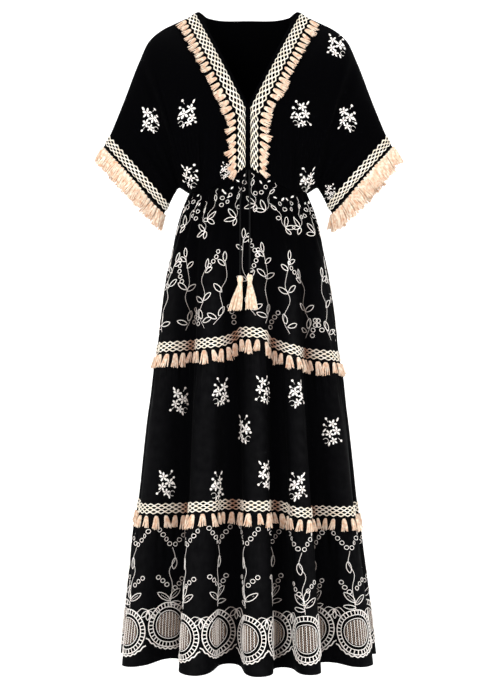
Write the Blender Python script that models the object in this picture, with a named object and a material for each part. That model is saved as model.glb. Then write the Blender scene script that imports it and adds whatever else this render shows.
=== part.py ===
"""Maxi dress in its worn form, metres, +Z up, the front faces -Y.

The bodice has a V neck and sleeves cut in one with it. The skirt has three tiers, each seam and
the neck and cuffs carry a flat braid with a tassel fringe, and two ties hang from the waist.
The origin is midway between the two high points of the shoulders, where the wearer holds it up.
"""

import bmesh
import bpy
import numpy as np


def table(names, *rows):
    """The named columns of a table, each one an array."""
    return dict(zip(names.split(), np.array(rows, float).T))


# Walls and the clearances between pieces
WALL = 0.0015
SEAM = 0.0003
WAIST_SEAM = 0.0006
BRAID = 0.0013
BRAID_OFF = 0.0005
BRAID_WIDE = 0.022

# The waist, an ellipse under an arched front seam
WAIST_WIDE = 0.117
WAIST_DEEP = 0.084
WAIST_ARCH = table(
    "turn height",
    (0, -0.319),
    (9, -0.3345),
    (34, -0.358),
    (50, -0.367),
    (90, -0.366),
    (180, -0.366),
)

# The skirt's half sizes down its length, and how deep its flutes are
SKIRT = table(
    "height left right deep flute",
    (-1.300, 0.259, 0.261, 0.212, 0.0400),
    (-1.218, 0.250, 0.252, 0.205, 0.0370),
    (-1.138, 0.241, 0.242, 0.198, 0.0340),
    (-1.058, 0.232, 0.232, 0.190, 0.0310),
    (-0.978, 0.220, 0.221, 0.180, 0.0270),
    (-0.898, 0.212, 0.213, 0.172, 0.0240),
    (-0.818, 0.204, 0.204, 0.163, 0.0200),
    (-0.738, 0.192, 0.193, 0.152, 0.0160),
    (-0.672, 0.183, 0.183, 0.143, 0.0130),
    (-0.618, 0.176, 0.177, 0.136, 0.0100),
    (-0.538, 0.165, 0.165, 0.125, 0.0070),
    (-0.478, 0.152, 0.152, 0.114, 0.0040),
    (-0.438, 0.141, 0.141, 0.105, 0.0020),
    (-0.398, 0.128, 0.128, 0.094, 0.0008),
    (-0.366, 0.117, 0.117, 0.084, 0.0000),
    (-0.300, 0.117, 0.117, 0.084, 0.0000),
)

# The flutes round the skirt: degrees from the centre front to the wearer's left, which is the
# right of the picture. Lift is how far the hem rises in the valley after the crest.
FLUTES = table(
    "crest valley depth lift",
    (5, 18, 0.80, 0.006),
    (29, 44, 0.90, 0.008),
    (64, 84, 1.00, 0.010),
    (103, 118, 0.95, 0.010),
    (134, 149, 0.90, 0.010),
    (163, 178, 0.85, 0.010),
    (192, 207, 0.90, 0.010),
    (223, 238, 0.90, 0.010),
    (254, 273, 0.95, 0.010),
    (297, 317, 1.00, 0.016),
    (336, 351, 0.95, 0.014),
)
FLUTE_LEAN = 0.24

# Seams between the tiers, by degrees from the centre front
SEAM_HIGH = table(
    "turn height",
    (-180, -0.686),
    (-90, -0.676),
    (-30, -0.666),
    (-13, -0.659),
    (-3, -0.643),
    (7, -0.645),
    (20, -0.668),
    (38, -0.683),
    (90, -0.692),
    (180, -0.686),
)
SEAM_LOW = table(
    "turn height",
    (-180, -0.990),
    (-90, -0.988),
    (-45, -0.985),
    (-15, -0.974),
    (12, -0.974),
    (32, -0.989),
    (90, -0.993),
    (180, -0.990),
)
HEM = -1.292

# Gathers under the waist seam, by the distance below it
GATHERS = 30
GATHER = table(
    "below depth",
    (0.000, 0.0000),
    (0.014, 0.0028),
    (0.060, 0.0024),
    (0.130, 0.0009),
    (0.190, 0.0000),
)

# Sections across the bodice front, from the centre edge to the cuff: the ends and the middle of
# each line, the middle's depth, the angle where a line ends on the waist, and its shape
FRONT = table(
    "top_x top_z mid_x mid_z deep turn end_x end_z bend crown under",
    (0.0990, -0.0020, 0.0000, -0.2024, 0.100, 0.0, 0.0000, -0.319, 1.0, 1.00, 1.0),
    (0.1045, -0.0050, 0.0045, -0.2070, 0.100, 2.2, 0.0045, -0.323, 1.0, 1.00, 1.0),
    (0.1238, -0.0155, 0.0210, -0.2230, 0.099, 10.3, 0.0210, -0.336, 1.0, 1.00, 1.0),
    (0.1470, -0.0260, 0.0740, -0.2220, 0.095, 40.0, 0.0752, -0.362, 0.6, 0.90, 1.0),
    (0.1710, -0.0380, 0.1130, -0.2256, 0.085, 63.0, 0.1042, -0.367, 0.3, 0.75, 1.0),
    (0.1970, -0.0600, 0.1480, -0.2390, 0.068, 90.0, 0.1170, -0.366, 0.0, 0.60, 0.8),
    (0.2190, -0.1060, 0.1680, -0.2407, 0.052, 90.0, 0.1370, -0.355, 0.0, 0.50, 0.6),
    (0.2490, -0.1840, 0.1910, -0.2750, 0.042, 90.0, 0.1450, -0.364, 0.0, 0.50, 0.5),
    (0.2760, -0.2490, 0.2090, -0.3256, 0.036, 90.0, 0.1570, -0.387, 0.0, 0.50, 0.5),
    (0.2870, -0.2700, 0.2250, -0.3410, 0.035, 90.0, 0.1670, -0.404, 0.0, 0.50, 0.5),
)
FRONT_SIDE = 5
FRONT_CUFF = 8
FRONT_LINES = (
    (0, 1, 2)
    + (2.17, 2.33, 2.5, 2.67, 2.83, 3, 3.25, 3.5, 3.75, 4)
    + (4.5, 5, 5.5, 6, 6.5, 7, 7.5, 8, 9)
)

# The same across the back, from its centre
BACK = table(
    "top_x top_y top_z mid_x mid_z deep turn end_x end_z bend crown under",
    (0.0000, 0.062, -0.0080, 0.0000, -0.2000, 0.092, 0, 0.0000, -0.366, 0, 1.00, 1.0),
    (0.0480, 0.055, -0.0095, 0.0350, -0.2000, 0.094, 17, 0.0342, -0.366, 0, 1.00, 1.0),
    (0.0830, 0.034, -0.0070, 0.0600, -0.2030, 0.095, 30, 0.0585, -0.366, 0, 0.90, 1.0),
    (0.0990, 0.000, -0.0020, 0.0780, -0.2080, 0.094, 40, 0.0752, -0.366, 0, 0.80, 1.0),
    (0.1210, 0.000, -0.0140, 0.0960, -0.2130, 0.090, 50, 0.0896, -0.366, 0, 0.75, 1.0),
    (0.1470, 0.000, -0.0260, 0.1120, -0.2190, 0.084, 61, 0.1023, -0.366, 0, 0.70, 1.0),
    (0.1710, 0.000, -0.0380, 0.1300, -0.2280, 0.075, 75, 0.1130, -0.366, 0, 0.65, 0.9),
    (0.1970, 0.000, -0.0600, 0.1480, -0.2390, 0.064, 90, 0.1170, -0.366, 0, 0.60, 0.8),
    (0.2190, 0.000, -0.1060, 0.1680, -0.2407, 0.050, 90, 0.1370, -0.355, 0, 0.50, 0.6),
    (0.2490, 0.000, -0.1840, 0.1910, -0.2750, 0.041, 90, 0.1450, -0.364, 0, 0.50, 0.5),
    (0.2760, 0.000, -0.2490, 0.2090, -0.3256, 0.036, 90, 0.1570, -0.387, 0, 0.50, 0.5),
    (0.2870, 0.000, -0.2700, 0.2250, -0.3410, 0.035, 90, 0.1670, -0.404, 0, 0.50, 0.5),
)
BACK_SIDE = 7
BACK_CUFF = 10
BACK_LINES = (0, 0.5, 1, 1.5, 2, 2.5, 3, 4, 5, 6, 7, 7.5, 8, 8.5, 9, 9.5, 10, 11)

# Soft folds: the section each runs along, its half width in sections, its depth, and where it
# starts and ends between the shoulder, 0, and the waist or underarm, 1
FRONT_FOLDS = table(
    "place reach depth start end",
    (2.50, 0.16, 0.0040, 0.45, 1.0),
    (2.83, 0.16, 0.0040, 0.50, 1.0),
    (3.25, 0.22, 0.0040, 0.55, 1.0),
    (3.75, 0.25, 0.0030, 0.60, 1.0),
    (5.50, 0.50, 0.0070, 0.02, 1.0),
    (6.50, 0.50, 0.0060, 0.00, 1.0),
    (7.50, 0.40, 0.0040, 0.10, 0.9),
)
BACK_FOLDS = table(
    "place reach depth start end",
    (0.50, 0.50, 0.0030, 0.50, 1.0),
    (1.50, 0.50, 0.0030, 0.50, 1.0),
    (2.50, 0.50, 0.0030, 0.55, 1.0),
    (7.50, 0.50, 0.0070, 0.05, 1.0),
    (8.50, 0.50, 0.0060, 0.00, 1.0),
    (9.50, 0.50, 0.0040, 0.10, 0.9),
)
BODICE_ROWS = (0, 0.06, 0.17, 0.33, 0.5, 0.65, 0.8, 0.92, 1)

# Fringes: locks in each, their length and how much wider they are at the foot
FRINGE_STRIP = 0.0035
HIGH_FRINGE = {"locks": 52, "long": 0.024, "off": 0.0030, "thick": 0.0030}
LOW_FRINGE = {"locks": 64, "long": 0.024, "off": 0.0038, "thick": 0.0030}
CUFF_FRINGE = {"locks": 18, "long": 0.033, "off": 0.0001, "thick": 0.0028}
NECK_FRINGE = {"locks": 13, "long": 0.018, "off": 0.0009, "thick": 0.0028}
LOCK_FLARE = 1.35

# Ties and their tassels: where each hangs across the front, and its heights
TIE_RADIUS = 0.0016
TIES = table(
    "start across top foot lean half",
    (-0.0026, -0.0150, -0.3270, -0.5350, -0.0105, 0.0145),
    (0.0026, 0.0035, -0.3270, -0.5330, 0.0035, 0.0130),
)
HEAD = table(
    "down radius",
    (0.0000, 0.0026),
    (0.0030, 0.0050),
    (0.0090, 0.0055),
    (0.0130, 0.0036),
    (0.0180, 0.0060),
)
HEAD_SIDES = 16
HEAD_OFF = 0.0085
TASSEL_LONG = 0.050
TASSEL_DEEP = 1.3

BLACK = (0.004, 0.004, 0.0045)
CREAM = (0.93, 0.85, 0.72)
PEACH = (0.87, 0.70, 0.55)


def smooth(at, knots, values):
    """Value at each place along a curve through the knots, with no overshoot."""
    order = np.argsort(knots)
    knots = np.asarray(knots, float)[order]
    values = np.asarray(values, float)[order]
    step = np.diff(knots)
    rise = np.diff(values) / step
    slope = np.zeros_like(values)
    both = rise[1:] * rise[:-1]
    total = np.where(both > 0, rise[1:] + rise[:-1], 1)
    slope[1:-1] = np.where(both > 0, 2 * both / total, 0)
    slope[0] = rise[0]
    slope[-1] = rise[-1]
    at = np.clip(np.asarray(at, float), knots[0], knots[-1])
    i = np.clip(np.searchsorted(knots, at, side="right") - 1, 0, len(step) - 1)
    s = (at - knots[i]) / step[i]
    start = values[i] * (1 + 2 * s) + step[i] * slope[i] * s
    end = values[i + 1] * (3 - 2 * s) - step[i] * slope[i + 1] * (1 - s)
    return start * (1 - s) ** 2 + end * s * s


def ramp(at, low, high):
    """0 below low, 1 above high, and smooth between."""
    s = np.clip((at - low) / (high - low), 0, 1)
    return s * s * (3 - 2 * s)


def unit(vectors):
    return vectors / np.linalg.norm(vectors, axis=-1, keepdims=True)


def round_the_skirt(turn, names):
    """A flute column's value at each angle: the crest's, or the valley's for phase and lift."""
    laps = np.arange(-1, 3)[:, None]
    crest = (FLUTES["crest"] + 360 * laps).ravel()
    valley = (FLUTES["valley"] + 360 * laps).ravel()
    if names == "depth":
        return smooth(turn, crest, np.tile(FLUTES["depth"], 4))
    at = np.concatenate([crest, valley])
    if names == "lift":
        return smooth(turn, at, np.concatenate([0 * crest, np.tile(FLUTES["lift"], 4)]))
    phase = 2 * np.pi * np.arange(len(crest))
    return smooth(turn, at, np.concatenate([phase, phase + np.pi]))


def ring(height, turn):
    """The skirt's outline at one height, seen from above."""
    left, right, deep, flute = (
        smooth(height, SKIRT["height"], SKIRT[name]) for name in ("left", "right", "deep", "flute")
    )
    wide = (left + right) / 2
    angle = np.radians(turn)
    place = np.stack([wide * np.sin(angle), -deep * np.cos(angle)], axis=-1)
    out = unit(np.stack([np.sin(angle) / wide, -np.cos(angle) / deep], axis=-1))
    along = np.stack([-out[:, 1], out[:, 0]], axis=-1)
    phase = round_the_skirt(turn, "phase")
    size = (flute * round_the_skirt(turn, "depth"))[:, None]
    place = place + out * size * np.cos(phase)[:, None]
    place = place + along * FLUTE_LEAN * size * np.sin(2 * phase)[:, None]
    low = place.min(axis=0)
    high = place.max(axis=0)
    goal = np.array([[-left, -deep], [right, deep]])
    return goal[0] + (place - low) * (goal[1] - goal[0]) / (high - low)


LEVELS = np.linspace(-1.30, -0.30, 51)
HALF = 360


def skirt_table():
    """Points at equal lengths round each half of the skirt, a row for each level."""
    turn = np.linspace(-90, 270, 1441)
    rows = []
    for height in LEVELS:
        outline = ring(height, turn)
        gone = np.concatenate([[0], np.cumsum(np.linalg.norm(np.diff(outline, axis=0), axis=1))])
        side = gone[720]
        stops = np.concatenate(
            [np.linspace(0, side, HALF + 1), np.linspace(side, gone[-1], HALF + 1)[1:]]
        )
        columns = (outline[:, 0], outline[:, 1], turn)
        rows.append(np.stack([np.interp(stops, gone, column) for column in columns], axis=-1))
    return np.array(rows)


SKIRT_POINTS = skirt_table()


def skirt_look(u, height):
    """x, y and the angle at u, 0 to 1 round the front and 1 to 2 round the back."""
    across = np.mod(u, 2) * HALF
    level = np.clip((height - LEVELS[0]) / (LEVELS[1] - LEVELS[0]), 0, len(LEVELS) - 1.001)
    i = np.floor(level).astype(int)
    j = np.minimum(np.floor(across).astype(int), 2 * HALF - 1)
    a = (level - i)[..., None]
    b = (across - j)[..., None]
    low = SKIRT_POINTS[i, j] * (1 - b) + SKIRT_POINTS[i, j + 1] * b
    high = SKIRT_POINTS[i + 1, j] * (1 - b) + SKIRT_POINTS[i + 1, j + 1] * b
    return low * (1 - a) + high * a


def seam_height(u, seam):
    """The height of a seam round the skirt, or of the hem."""
    if seam == "waist":
        turn = skirt_look(u, np.full_like(u, -0.35))[..., 2]
        turn = np.abs(np.where(turn > 180, turn - 360, turn))
        return smooth(turn, WAIST_ARCH["turn"], WAIST_ARCH["height"])
    if seam == "hem":
        turn = skirt_look(u, np.full_like(u, HEM))[..., 2]
        return HEM + round_the_skirt(turn, "lift")
    rows, level = (SEAM_HIGH, -0.67) if seam == "high" else (SEAM_LOW, -0.985)
    turn = skirt_look(u, np.full_like(u, level))[..., 2]
    turn = np.where(turn > 180, turn - 360, turn)
    return smooth(turn, rows["turn"], rows["height"])


def flat_skirt(u, height):
    return np.concatenate([skirt_look(u, height)[..., :2], height[..., None]], axis=-1)


def skirt_point(u, height):
    """A point of the skirt's outer face, gathers included."""
    point = flat_skirt(u, height)
    step = 0.002
    along = flat_skirt(u + step, height) - flat_skirt(u - step, height)
    out = unit(np.stack([along[..., 1], -along[..., 0], 0 * u], axis=-1))
    below = seam_height(u, "waist") - height
    size = smooth(below, GATHER["below"], GATHER["depth"])
    return point + out * (size * np.cos(np.pi * GATHERS * u))[..., None]


def skirt_normal(u, height):
    step = 0.003
    along = skirt_point(u + step, height) - skirt_point(u - step, height)
    up = skirt_point(u, height + step) - skirt_point(u, height - step)
    return unit(np.cross(along, up))


def bodice_point(rows, folds, side_line, face, hand, place, down):
    """A point of the bodice's outer face. Face is -1 in front and 1 behind, hand is the side."""
    line = np.arange(len(rows["top_x"]))
    value = {name: smooth(place, line, column) for name, column in rows.items()}
    angle = np.radians(value["turn"])
    on_waist = place <= side_line
    end_x = np.where(on_waist, WAIST_WIDE * np.sin(angle), value["end_x"])
    end_y = np.where(on_waist, WAIST_DEEP * np.cos(angle), 0)
    turn = value["turn"] if face < 0 else 180 - value["turn"]
    arch = smooth(turn, WAIST_ARCH["turn"], WAIST_ARCH["height"])
    end_z = np.where(on_waist, arch + WAIST_SEAM, value["end_z"] + WAIST_SEAM)
    first = down < 0.5

    def drawn(top, middle, end):
        curve = top * (1 - down) * (1 - 2 * down) + 4 * middle * down * (1 - down)
        curve = curve + end * down * (2 * down - 1)
        straight = np.where(
            first, top + (middle - top) * 2 * down, middle + (end - middle) * (2 * down - 1)
        )
        return value["bend"] * straight + (1 - value["bend"]) * curve

    x = drawn(value["top_x"], value["mid_x"], end_x)
    z = drawn(value["top_z"], value["mid_z"], end_z)
    top_y = value.get("top_y", 0 * place)
    swell = np.clip(np.sin(np.pi * down), 1e-9, 1)
    high = top_y + (value["deep"] - top_y) * swell ** value["crown"]
    low = end_y + (value["deep"] - end_y) * swell ** value["under"]
    y = np.where(first, high, low)
    for spot, reach, depth, start, end in zip(*(folds[name] for name in folds)):
        near = np.cos(np.clip((place - spot) / reach, -1, 1) * np.pi / 2) ** 2
        part = np.clip((down - start) / (end - start), 0, 1)
        y = y + depth * near * np.sin(np.pi * part) ** 0.7
    return np.stack([hand * (x + SEAM / 2), face * (y + SEAM / 2), z], axis=-1)


def front_point(hand, place, down):
    return bodice_point(FRONT, FRONT_FOLDS, FRONT_SIDE, -1, hand, place, down)


def back_point(hand, place, down):
    return bodice_point(BACK, BACK_FOLDS, BACK_SIDE, 1, hand, place, down)


def grid_normals(grid):
    """The outward normals of a grid of points whose rows run down and columns run across."""
    down = np.gradient(grid, axis=0)
    across = np.gradient(grid, axis=1)
    return unit(np.cross(down, across))


def flatten(normals, where, axis):
    """Takes one axis out of the normals along a seam, so its two sides stay parallel."""
    normals[where + (axis,)] = 0
    normals[where] = unit(normals[where])


def colour(name, shade):
    made = bpy.data.materials.new(name)
    made.use_nodes = True
    made.node_tree.nodes["Principled BSDF"].inputs["Base Color"].default_value = (*shade, 1)
    made.node_tree.nodes["Principled BSDF"].inputs["Roughness"].default_value = 0.8
    made.diffuse_color = (*shade, 1)
    return made


def finish(name, bm, shade):
    bmesh.ops.recalc_face_normals(bm, faces=bm.faces)
    mesh = bpy.data.meshes.new(name)
    bm.to_mesh(mesh)
    bm.free()
    mesh.materials.append(colour(name, shade))
    made = bpy.data.objects.new(name, mesh)
    bpy.context.scene.collection.objects.link(made)
    return made


def wall(name, outer, inner, shade, closed=False, flip=None):
    """A closed wall between two grids of points, its columns joined into a ring if closed.

    Each square is cut along the same diagonal on every piece, or the other one from column flip.
    """
    rows, columns = outer.shape[:2]
    bm = bmesh.new()
    out = [[bm.verts.new(point) for point in row] for row in outer]
    into = [[bm.verts.new(point) for point in row] for row in inner]
    for c in range(columns if closed else columns - 1):
        d = (c + 1) % columns
        for r in range(rows - 1):
            square = [(r, c), (r + 1, c), (r + 1, d), (r, d)]
            if flip is not None and c >= flip:
                square = square[1:] + square[:1]
            for side, step in ((out, 1), (into, -1)):
                a, b, e, f = [side[i][j] for i, j in square]
                bm.faces.new((a, b, e)[::step])
                bm.faces.new((a, e, f)[::step])
        for r in (0, rows - 1):
            bm.faces.new((out[r][c], out[r][d], into[r][d], into[r][c]))
    if not closed:
        for c in (0, columns - 1):
            for r in range(rows - 1):
                bm.faces.new((out[r][c], into[r][c], into[r + 1][c], out[r + 1][c]))
    return finish(name, bm, shade)


def fringe(name, root, foot, out, fall, size, closed=False):
    """A narrow strip from root to foot, with a lock drawn down along fall from every other face."""
    thick = size["thick"]
    count = len(root)
    bm = bmesh.new()
    lines = []
    for top, low, normal in zip(root, foot, out):
        face = [top + normal * thick, low + normal * thick, low, top]
        lines.append([bm.verts.new(point) for point in face])
    for i in range(count if closed else count - 1):
        a = lines[i]
        b = lines[(i + 1) % count]
        for k in (0, 2, 3):
            n = (k + 1) % 4
            bm.faces.new((a[k], b[k], b[n], a[n]))
        corners = (a[1], b[1], b[2], a[2])
        if i % 2:
            bm.faces.new(corners)
            continue
        middle = sum((corner.co for corner in corners), corners[0].co * 0) / 4
        end = middle + type(middle)(fall[i] * size["long"])
        tips = [bm.verts.new(end + (corner.co - middle) * LOCK_FLARE) for corner in corners]
        for k in range(4):
            n = (k + 1) % 4
            bm.faces.new((corners[k], corners[n], tips[n], tips[k]))
        bm.faces.new(tips)
    if not closed:
        bm.faces.new(lines[0])
        bm.faces.new(lines[-1])
    return finish(name, bm, CREAM if "cuff" in name else PEACH)


def tier(name, side, count, tops):
    """Half of a tier, its rows given as functions of the place round the skirt."""
    half = 0.5 * (WAIST_WIDE + WAIST_DEEP) * np.pi
    trim = SEAM / 2 / half
    u = side + np.linspace(trim, 1 - trim, count + 1)
    heights = np.array([row(u) for row in tops])
    where = np.broadcast_to(u, heights.shape)
    outer = skirt_point(where, heights)
    return wall(name, outer, outer - WALL * skirt_normal(where, heights), BLACK)


def below(seam, distance):
    return lambda u: seam_height(u, seam) - distance


def between(high, low, share):
    return lambda u: seam_height(u, high) * (1 - share) + seam_height(u, low) * share


def build_skirt():
    half_braid = BRAID_WIDE / 2
    upper = (
        below("waist", WAIST_SEAM / 2),
        below("waist", 0.014),
        between("waist", "high", 0.22),
        between("waist", "high", 0.55),
        below("high", -half_braid),
        below("high", -SEAM),
    )
    middle = (
        below("high", SEAM),
        below("high", half_braid),
        below("low", -half_braid),
        below("low", SEAM * -0.5),
    )
    bottom = (
        below("low", SEAM * 0.5),
        below("low", half_braid),
        between("low", "hem", 0.5),
        below("hem", 0),
    )
    for side, word in enumerate(("front", "back")):
        tier(f"skirt_upper_{word}", side, 60, upper)
        tier(f"skirt_middle_{word}", side, 48, middle)
        tier(f"skirt_bottom_{word}", side, 48, bottom)


def build_tier_trims():
    """The braid over each tier seam, moved out from the skirt's own points, and its fringe."""
    seams = (("upper", "high", 0.0015, HIGH_FRINGE), ("lower", "low", 0.0006, LOW_FRINGE))
    for word, seam, off, size in seams:
        u = np.linspace(0, 2, 96, endpoint=False)
        middle = seam_height(u, seam)
        heights = np.stack([middle + BRAID_WIDE / 2, middle - BRAID_WIDE / 2])
        where = np.broadcast_to(u, heights.shape)
        point = skirt_point(where, heights)
        out = skirt_normal(where, heights)
        wall(
            f"tier_trim_{word}",
            point + (off + BRAID) * out,
            point + off * out,
            CREAM,
            closed=True,
        )
        u = np.linspace(0, 2, 2 * size["locks"], endpoint=False)
        top = seam_height(u, seam) - BRAID_WIDE / 2 - 2 * SEAM
        root = skirt_point(u, top)
        foot = skirt_point(u, top - FRINGE_STRIP)
        out = skirt_normal(u, top)
        off = size["off"]
        long = size["long"]
        fall = (skirt_point(u, top - FRINGE_STRIP - long) - foot + 0.0008 * out) / long
        fringe(
            f"tier_fringe_{word}", root + off * out, foot + off * out, out, fall, size, closed=True
        )


def front_grid(hand):
    place, down = np.meshgrid(FRONT_LINES, BODICE_ROWS)
    grid = front_point(hand, place, down)
    out = grid_normals(grid) * hand
    flatten(out, (0, slice(None)), 1)
    flatten(out, (-1, slice(FRONT_LINES.index(FRONT_SIDE), None)), 1)
    flatten(out, (slice(4, None), 0), 0)
    return grid, out


def back_grid():
    place, down = np.meshgrid(BACK_LINES, BODICE_ROWS)
    right = back_point(1, place, down)
    left = back_point(-1, place, down)
    grid = np.concatenate([left[:, :0:-1], right], axis=1)
    middle = len(BACK_LINES) - 1
    grid[:, middle, 0] = 0
    out = -grid_normals(grid)
    neck = BACK_LINES.index(3)
    side = BACK_LINES.index(BACK_SIDE)
    flatten(out, (0, slice(0, middle - neck + 1)), 1)
    flatten(out, (0, slice(middle + neck, None)), 1)
    flatten(out, (-1, slice(0, middle - side + 1)), 1)
    flatten(out, (-1, slice(middle + side, None)), 1)
    return grid, out


def cuff_loop(hand, front_place, back_place, down):
    """Points round a sleeve, from the overarm down the front and up the back."""
    front = front_point(hand, np.full_like(down, front_place), down)
    back = back_point(hand, np.full_like(down, back_place), down)
    loop = np.concatenate([front, back[-2:0:-1]])
    loop[[0, len(down) - 1], 1] = 0
    return loop


def loop_normals(rows, hand):
    """Outward normals of the rings of a sleeve."""
    around = np.roll(rows, -1, axis=1) - np.roll(rows, 1, axis=1)
    along = np.broadcast_to(rows[-1] - rows[0], rows.shape)
    return unit(np.cross(around, along)) * hand


def even(loop, count):
    """A closed loop's points at equal distances."""
    closed = np.concatenate([loop, loop[:1]])
    gone = np.concatenate([[0], np.cumsum(np.linalg.norm(np.diff(closed, axis=0), axis=1))])
    stops = np.linspace(0, gone[-1], count, endpoint=False)
    return np.stack([np.interp(stops, gone, closed[:, k]) for k in range(3)], axis=-1)


def build_bodice():
    for hand, word in ((-1, "left"), (1, "right")):
        grid, out = front_grid(hand)
        wall(f"bodice_front_{word}", grid, grid - WALL * out, BLACK)
        trim = grid[:, 1:3] + BRAID_OFF * out[:, 1:3]
        wall(f"neck_trim_{word}", trim + BRAID * out[:, 1:3], trim, CREAM)
        build_neck_fringe(hand, word)
        build_cuff(hand, word)
    grid, out = back_grid()
    middle = len(BACK_LINES) - 1
    wall("bodice_back", grid, grid - WALL * out, BLACK, flip=middle)


def build_neck_fringe(hand, word):
    size = NECK_FRINGE
    down = np.linspace(0.07, 0.96, 2 * size["locks"])
    place = np.full_like(down, 2.0)
    edge = front_point(hand, place, down)
    across = (front_point(hand, place + 0.02, down) - edge) / 0.02
    pace = np.linalg.norm(across, axis=-1)
    across = across / pace[:, None]
    along = front_point(hand, place, down + 0.01) - front_point(hand, place, down - 0.01)
    fall = np.linalg.norm(along, axis=-1) / 0.02
    out = unit(np.cross(along, across)) * hand
    root = edge + across * SEAM * 1.5 + out * size["off"]
    foot = root + across * FRINGE_STRIP
    long = size["long"] * (1 - 0.42 * ramp(down, 0.42, 0.55))
    ends = front_point(
        hand, place + (FRINGE_STRIP + 0.97 * long) / pace, np.clip(down + 0.25 * long / fall, 0, 0.99)
    )
    fall = (ends + (size["off"] + 0.0018) * out - foot) / size["long"]
    fringe(f"neck_fringe_{word}", root, foot, out, fall, size)


def build_cuff(hand, word):
    down = np.array(BODICE_ROWS, float)
    inner = cuff_loop(hand, FRONT_CUFF, BACK_CUFF, down)
    edge = cuff_loop(hand, FRONT_CUFF + 1, BACK_CUFF + 1, down)
    rows = np.stack([inner, edge])
    out = loop_normals(rows, hand)
    off = rows + BRAID_OFF * out
    wall(f"cuff_trim_{word}", off + BRAID * out, off, CREAM, closed=True)
    size = CUFF_FRINGE
    fine = np.linspace(0, 1, 61)
    inner = even(cuff_loop(hand, FRONT_CUFF, BACK_CUFF, fine), 2 * size["locks"])
    edge = even(cuff_loop(hand, FRONT_CUFF + 1, BACK_CUFF + 1, fine), 2 * size["locks"])
    out = loop_normals(np.stack([inner, edge]), hand)[1]
    along = unit(np.mean(edge - inner, axis=0))
    root = edge + along * SEAM * 2 - out * size["off"]
    foot = root + along * FRINGE_STRIP
    fall = np.broadcast_to(unit(along + np.array([0, 0, -0.5])), edge.shape)
    fringe(f"cuff_fringe_{word}", root, foot, out, fall, size, closed=True)


def front_of_skirt(across, height, reach):
    """How far forward the skirt comes within a reach of one line down its front."""
    u = np.linspace(0.2, 0.8, 400)
    points = skirt_point(u, np.full_like(u, height))
    near = np.abs(points[:, 0] - across) < reach
    return points[near, 1].min()


def tie_path(start, across, top, foot):
    """A tie's middle line, which lies on the front of the skirt and never bends back."""
    heights = top + (foot - top) * np.linspace(0, 1, 12) ** 1.2
    drawn = start + (across - start) * ramp(top - heights, 0, 0.06)
    deep = [front_of_skirt(x, z, 0.007) for x, z in zip(drawn, heights)]
    clear = SEAM + 0.0025 * ramp(top - heights, 0, 0.04)
    deep = np.minimum.accumulate(deep) - TIE_RADIUS - clear
    head = min(front_of_skirt(across, foot - z, 0.010) for z in HEAD["down"]) - HEAD_OFF
    deep = deep + (min(head, deep[-1]) - deep[-1]) * ramp(top - heights, 0.1, top - foot)
    return np.stack([drawn, deep, heights], axis=-1)


def build_ties():
    rows = zip(*(TIES[name] for name in TIES))
    for word, (start, across, top, foot, lean, half) in zip(("left", "right"), rows):
        path = tie_path(start, across, top, foot)
        angle = np.linspace(0, 2 * np.pi, 6, endpoint=False)
        ring_shape = np.stack([np.cos(angle), np.sin(angle), 0 * angle], axis=-1) * TIE_RADIUS
        bm = bmesh.new()
        rings = [[bm.verts.new(point + spot) for spot in ring_shape] for point in path]
        for a, b in zip(rings, rings[1:]):
            for k in range(6):
                n = (k + 1) % 6
                bm.faces.new((a[k], a[n], b[n], b[k]))
        bm.faces.new(rings[0])
        bm.faces.new(rings[-1])
        finish(f"tie_{word}", bm, BLACK)
        build_tassel(word, path[-1, 1], across, foot - SEAM, lean, half)


def build_tassel(word, deep, across, top, lean, half):
    """A bound head with a skirt of locks under it."""
    foot = top - HEAD["down"][-1] - TASSEL_LONG
    behind = min(front_of_skirt(across + lean, z, half + 0.002) for z in (foot, foot + 0.03))
    behind = min(behind - 0.0115, deep - 0.001)
    centre = np.array([across, deep, top])
    shift = np.array([lean, behind - deep, 0])
    angle = np.linspace(0, 2 * np.pi, HEAD_SIDES, endpoint=False)
    circle = np.stack([np.cos(angle), np.sin(angle), 0 * angle], axis=-1)
    drop = np.array([0, 0, -1.0])
    bm = bmesh.new()
    rings = []
    for down, radius in zip(HEAD["down"], HEAD["radius"]):
        rings.append([bm.verts.new(centre + spot * radius + drop * down) for spot in circle])
    low = centre + drop * HEAD["down"][-1]
    core = [bm.verts.new(low + spot * HEAD["radius"][-1] * 0.45) for spot in circle]
    bm.faces.new(rings[0])
    bm.faces.new(core)
    spread = np.array([half / HEAD["radius"][-1], TASSEL_DEEP, 1])
    for a, b in zip(rings, rings[1:]):
        for k in range(HEAD_SIDES):
            n = (k + 1) % HEAD_SIDES
            bm.faces.new((a[k], a[n], b[n], b[k]))
    for k in range(HEAD_SIDES):
        n = (k + 1) % HEAD_SIDES
        corners = (rings[-1][k], rings[-1][n], core[n], core[k])
        if k % 2:
            bm.faces.new(corners)
            continue
        tips = []
        for corner in corners:
            place = np.array(corner.co) - centre
            place[2] = 0
            end = centre + shift + place * spread
            tips.append(bm.verts.new(end + drop * (HEAD["down"][-1] + TASSEL_LONG)))
        for i in range(4):
            j = (i + 1) % 4
            bm.faces.new((corners[i], corners[j], tips[j], tips[i]))
        bm.faces.new(tips)
    finish(f"tassel_{word}", bm, PEACH)


for old in list(bpy.data.objects):
    bpy.data.objects.remove(old)
build_bodice()
build_skirt()
build_tier_trims()
build_ties()
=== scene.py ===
"""The looks of the maxi dress: black viscose cloth in soft flutes, cream openwork braid, peach
tassels, raised thread embroidery and two ties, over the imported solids.

The surface functions are those of the part's own source, so each piece lies where its solid is.
"""

import math

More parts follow.
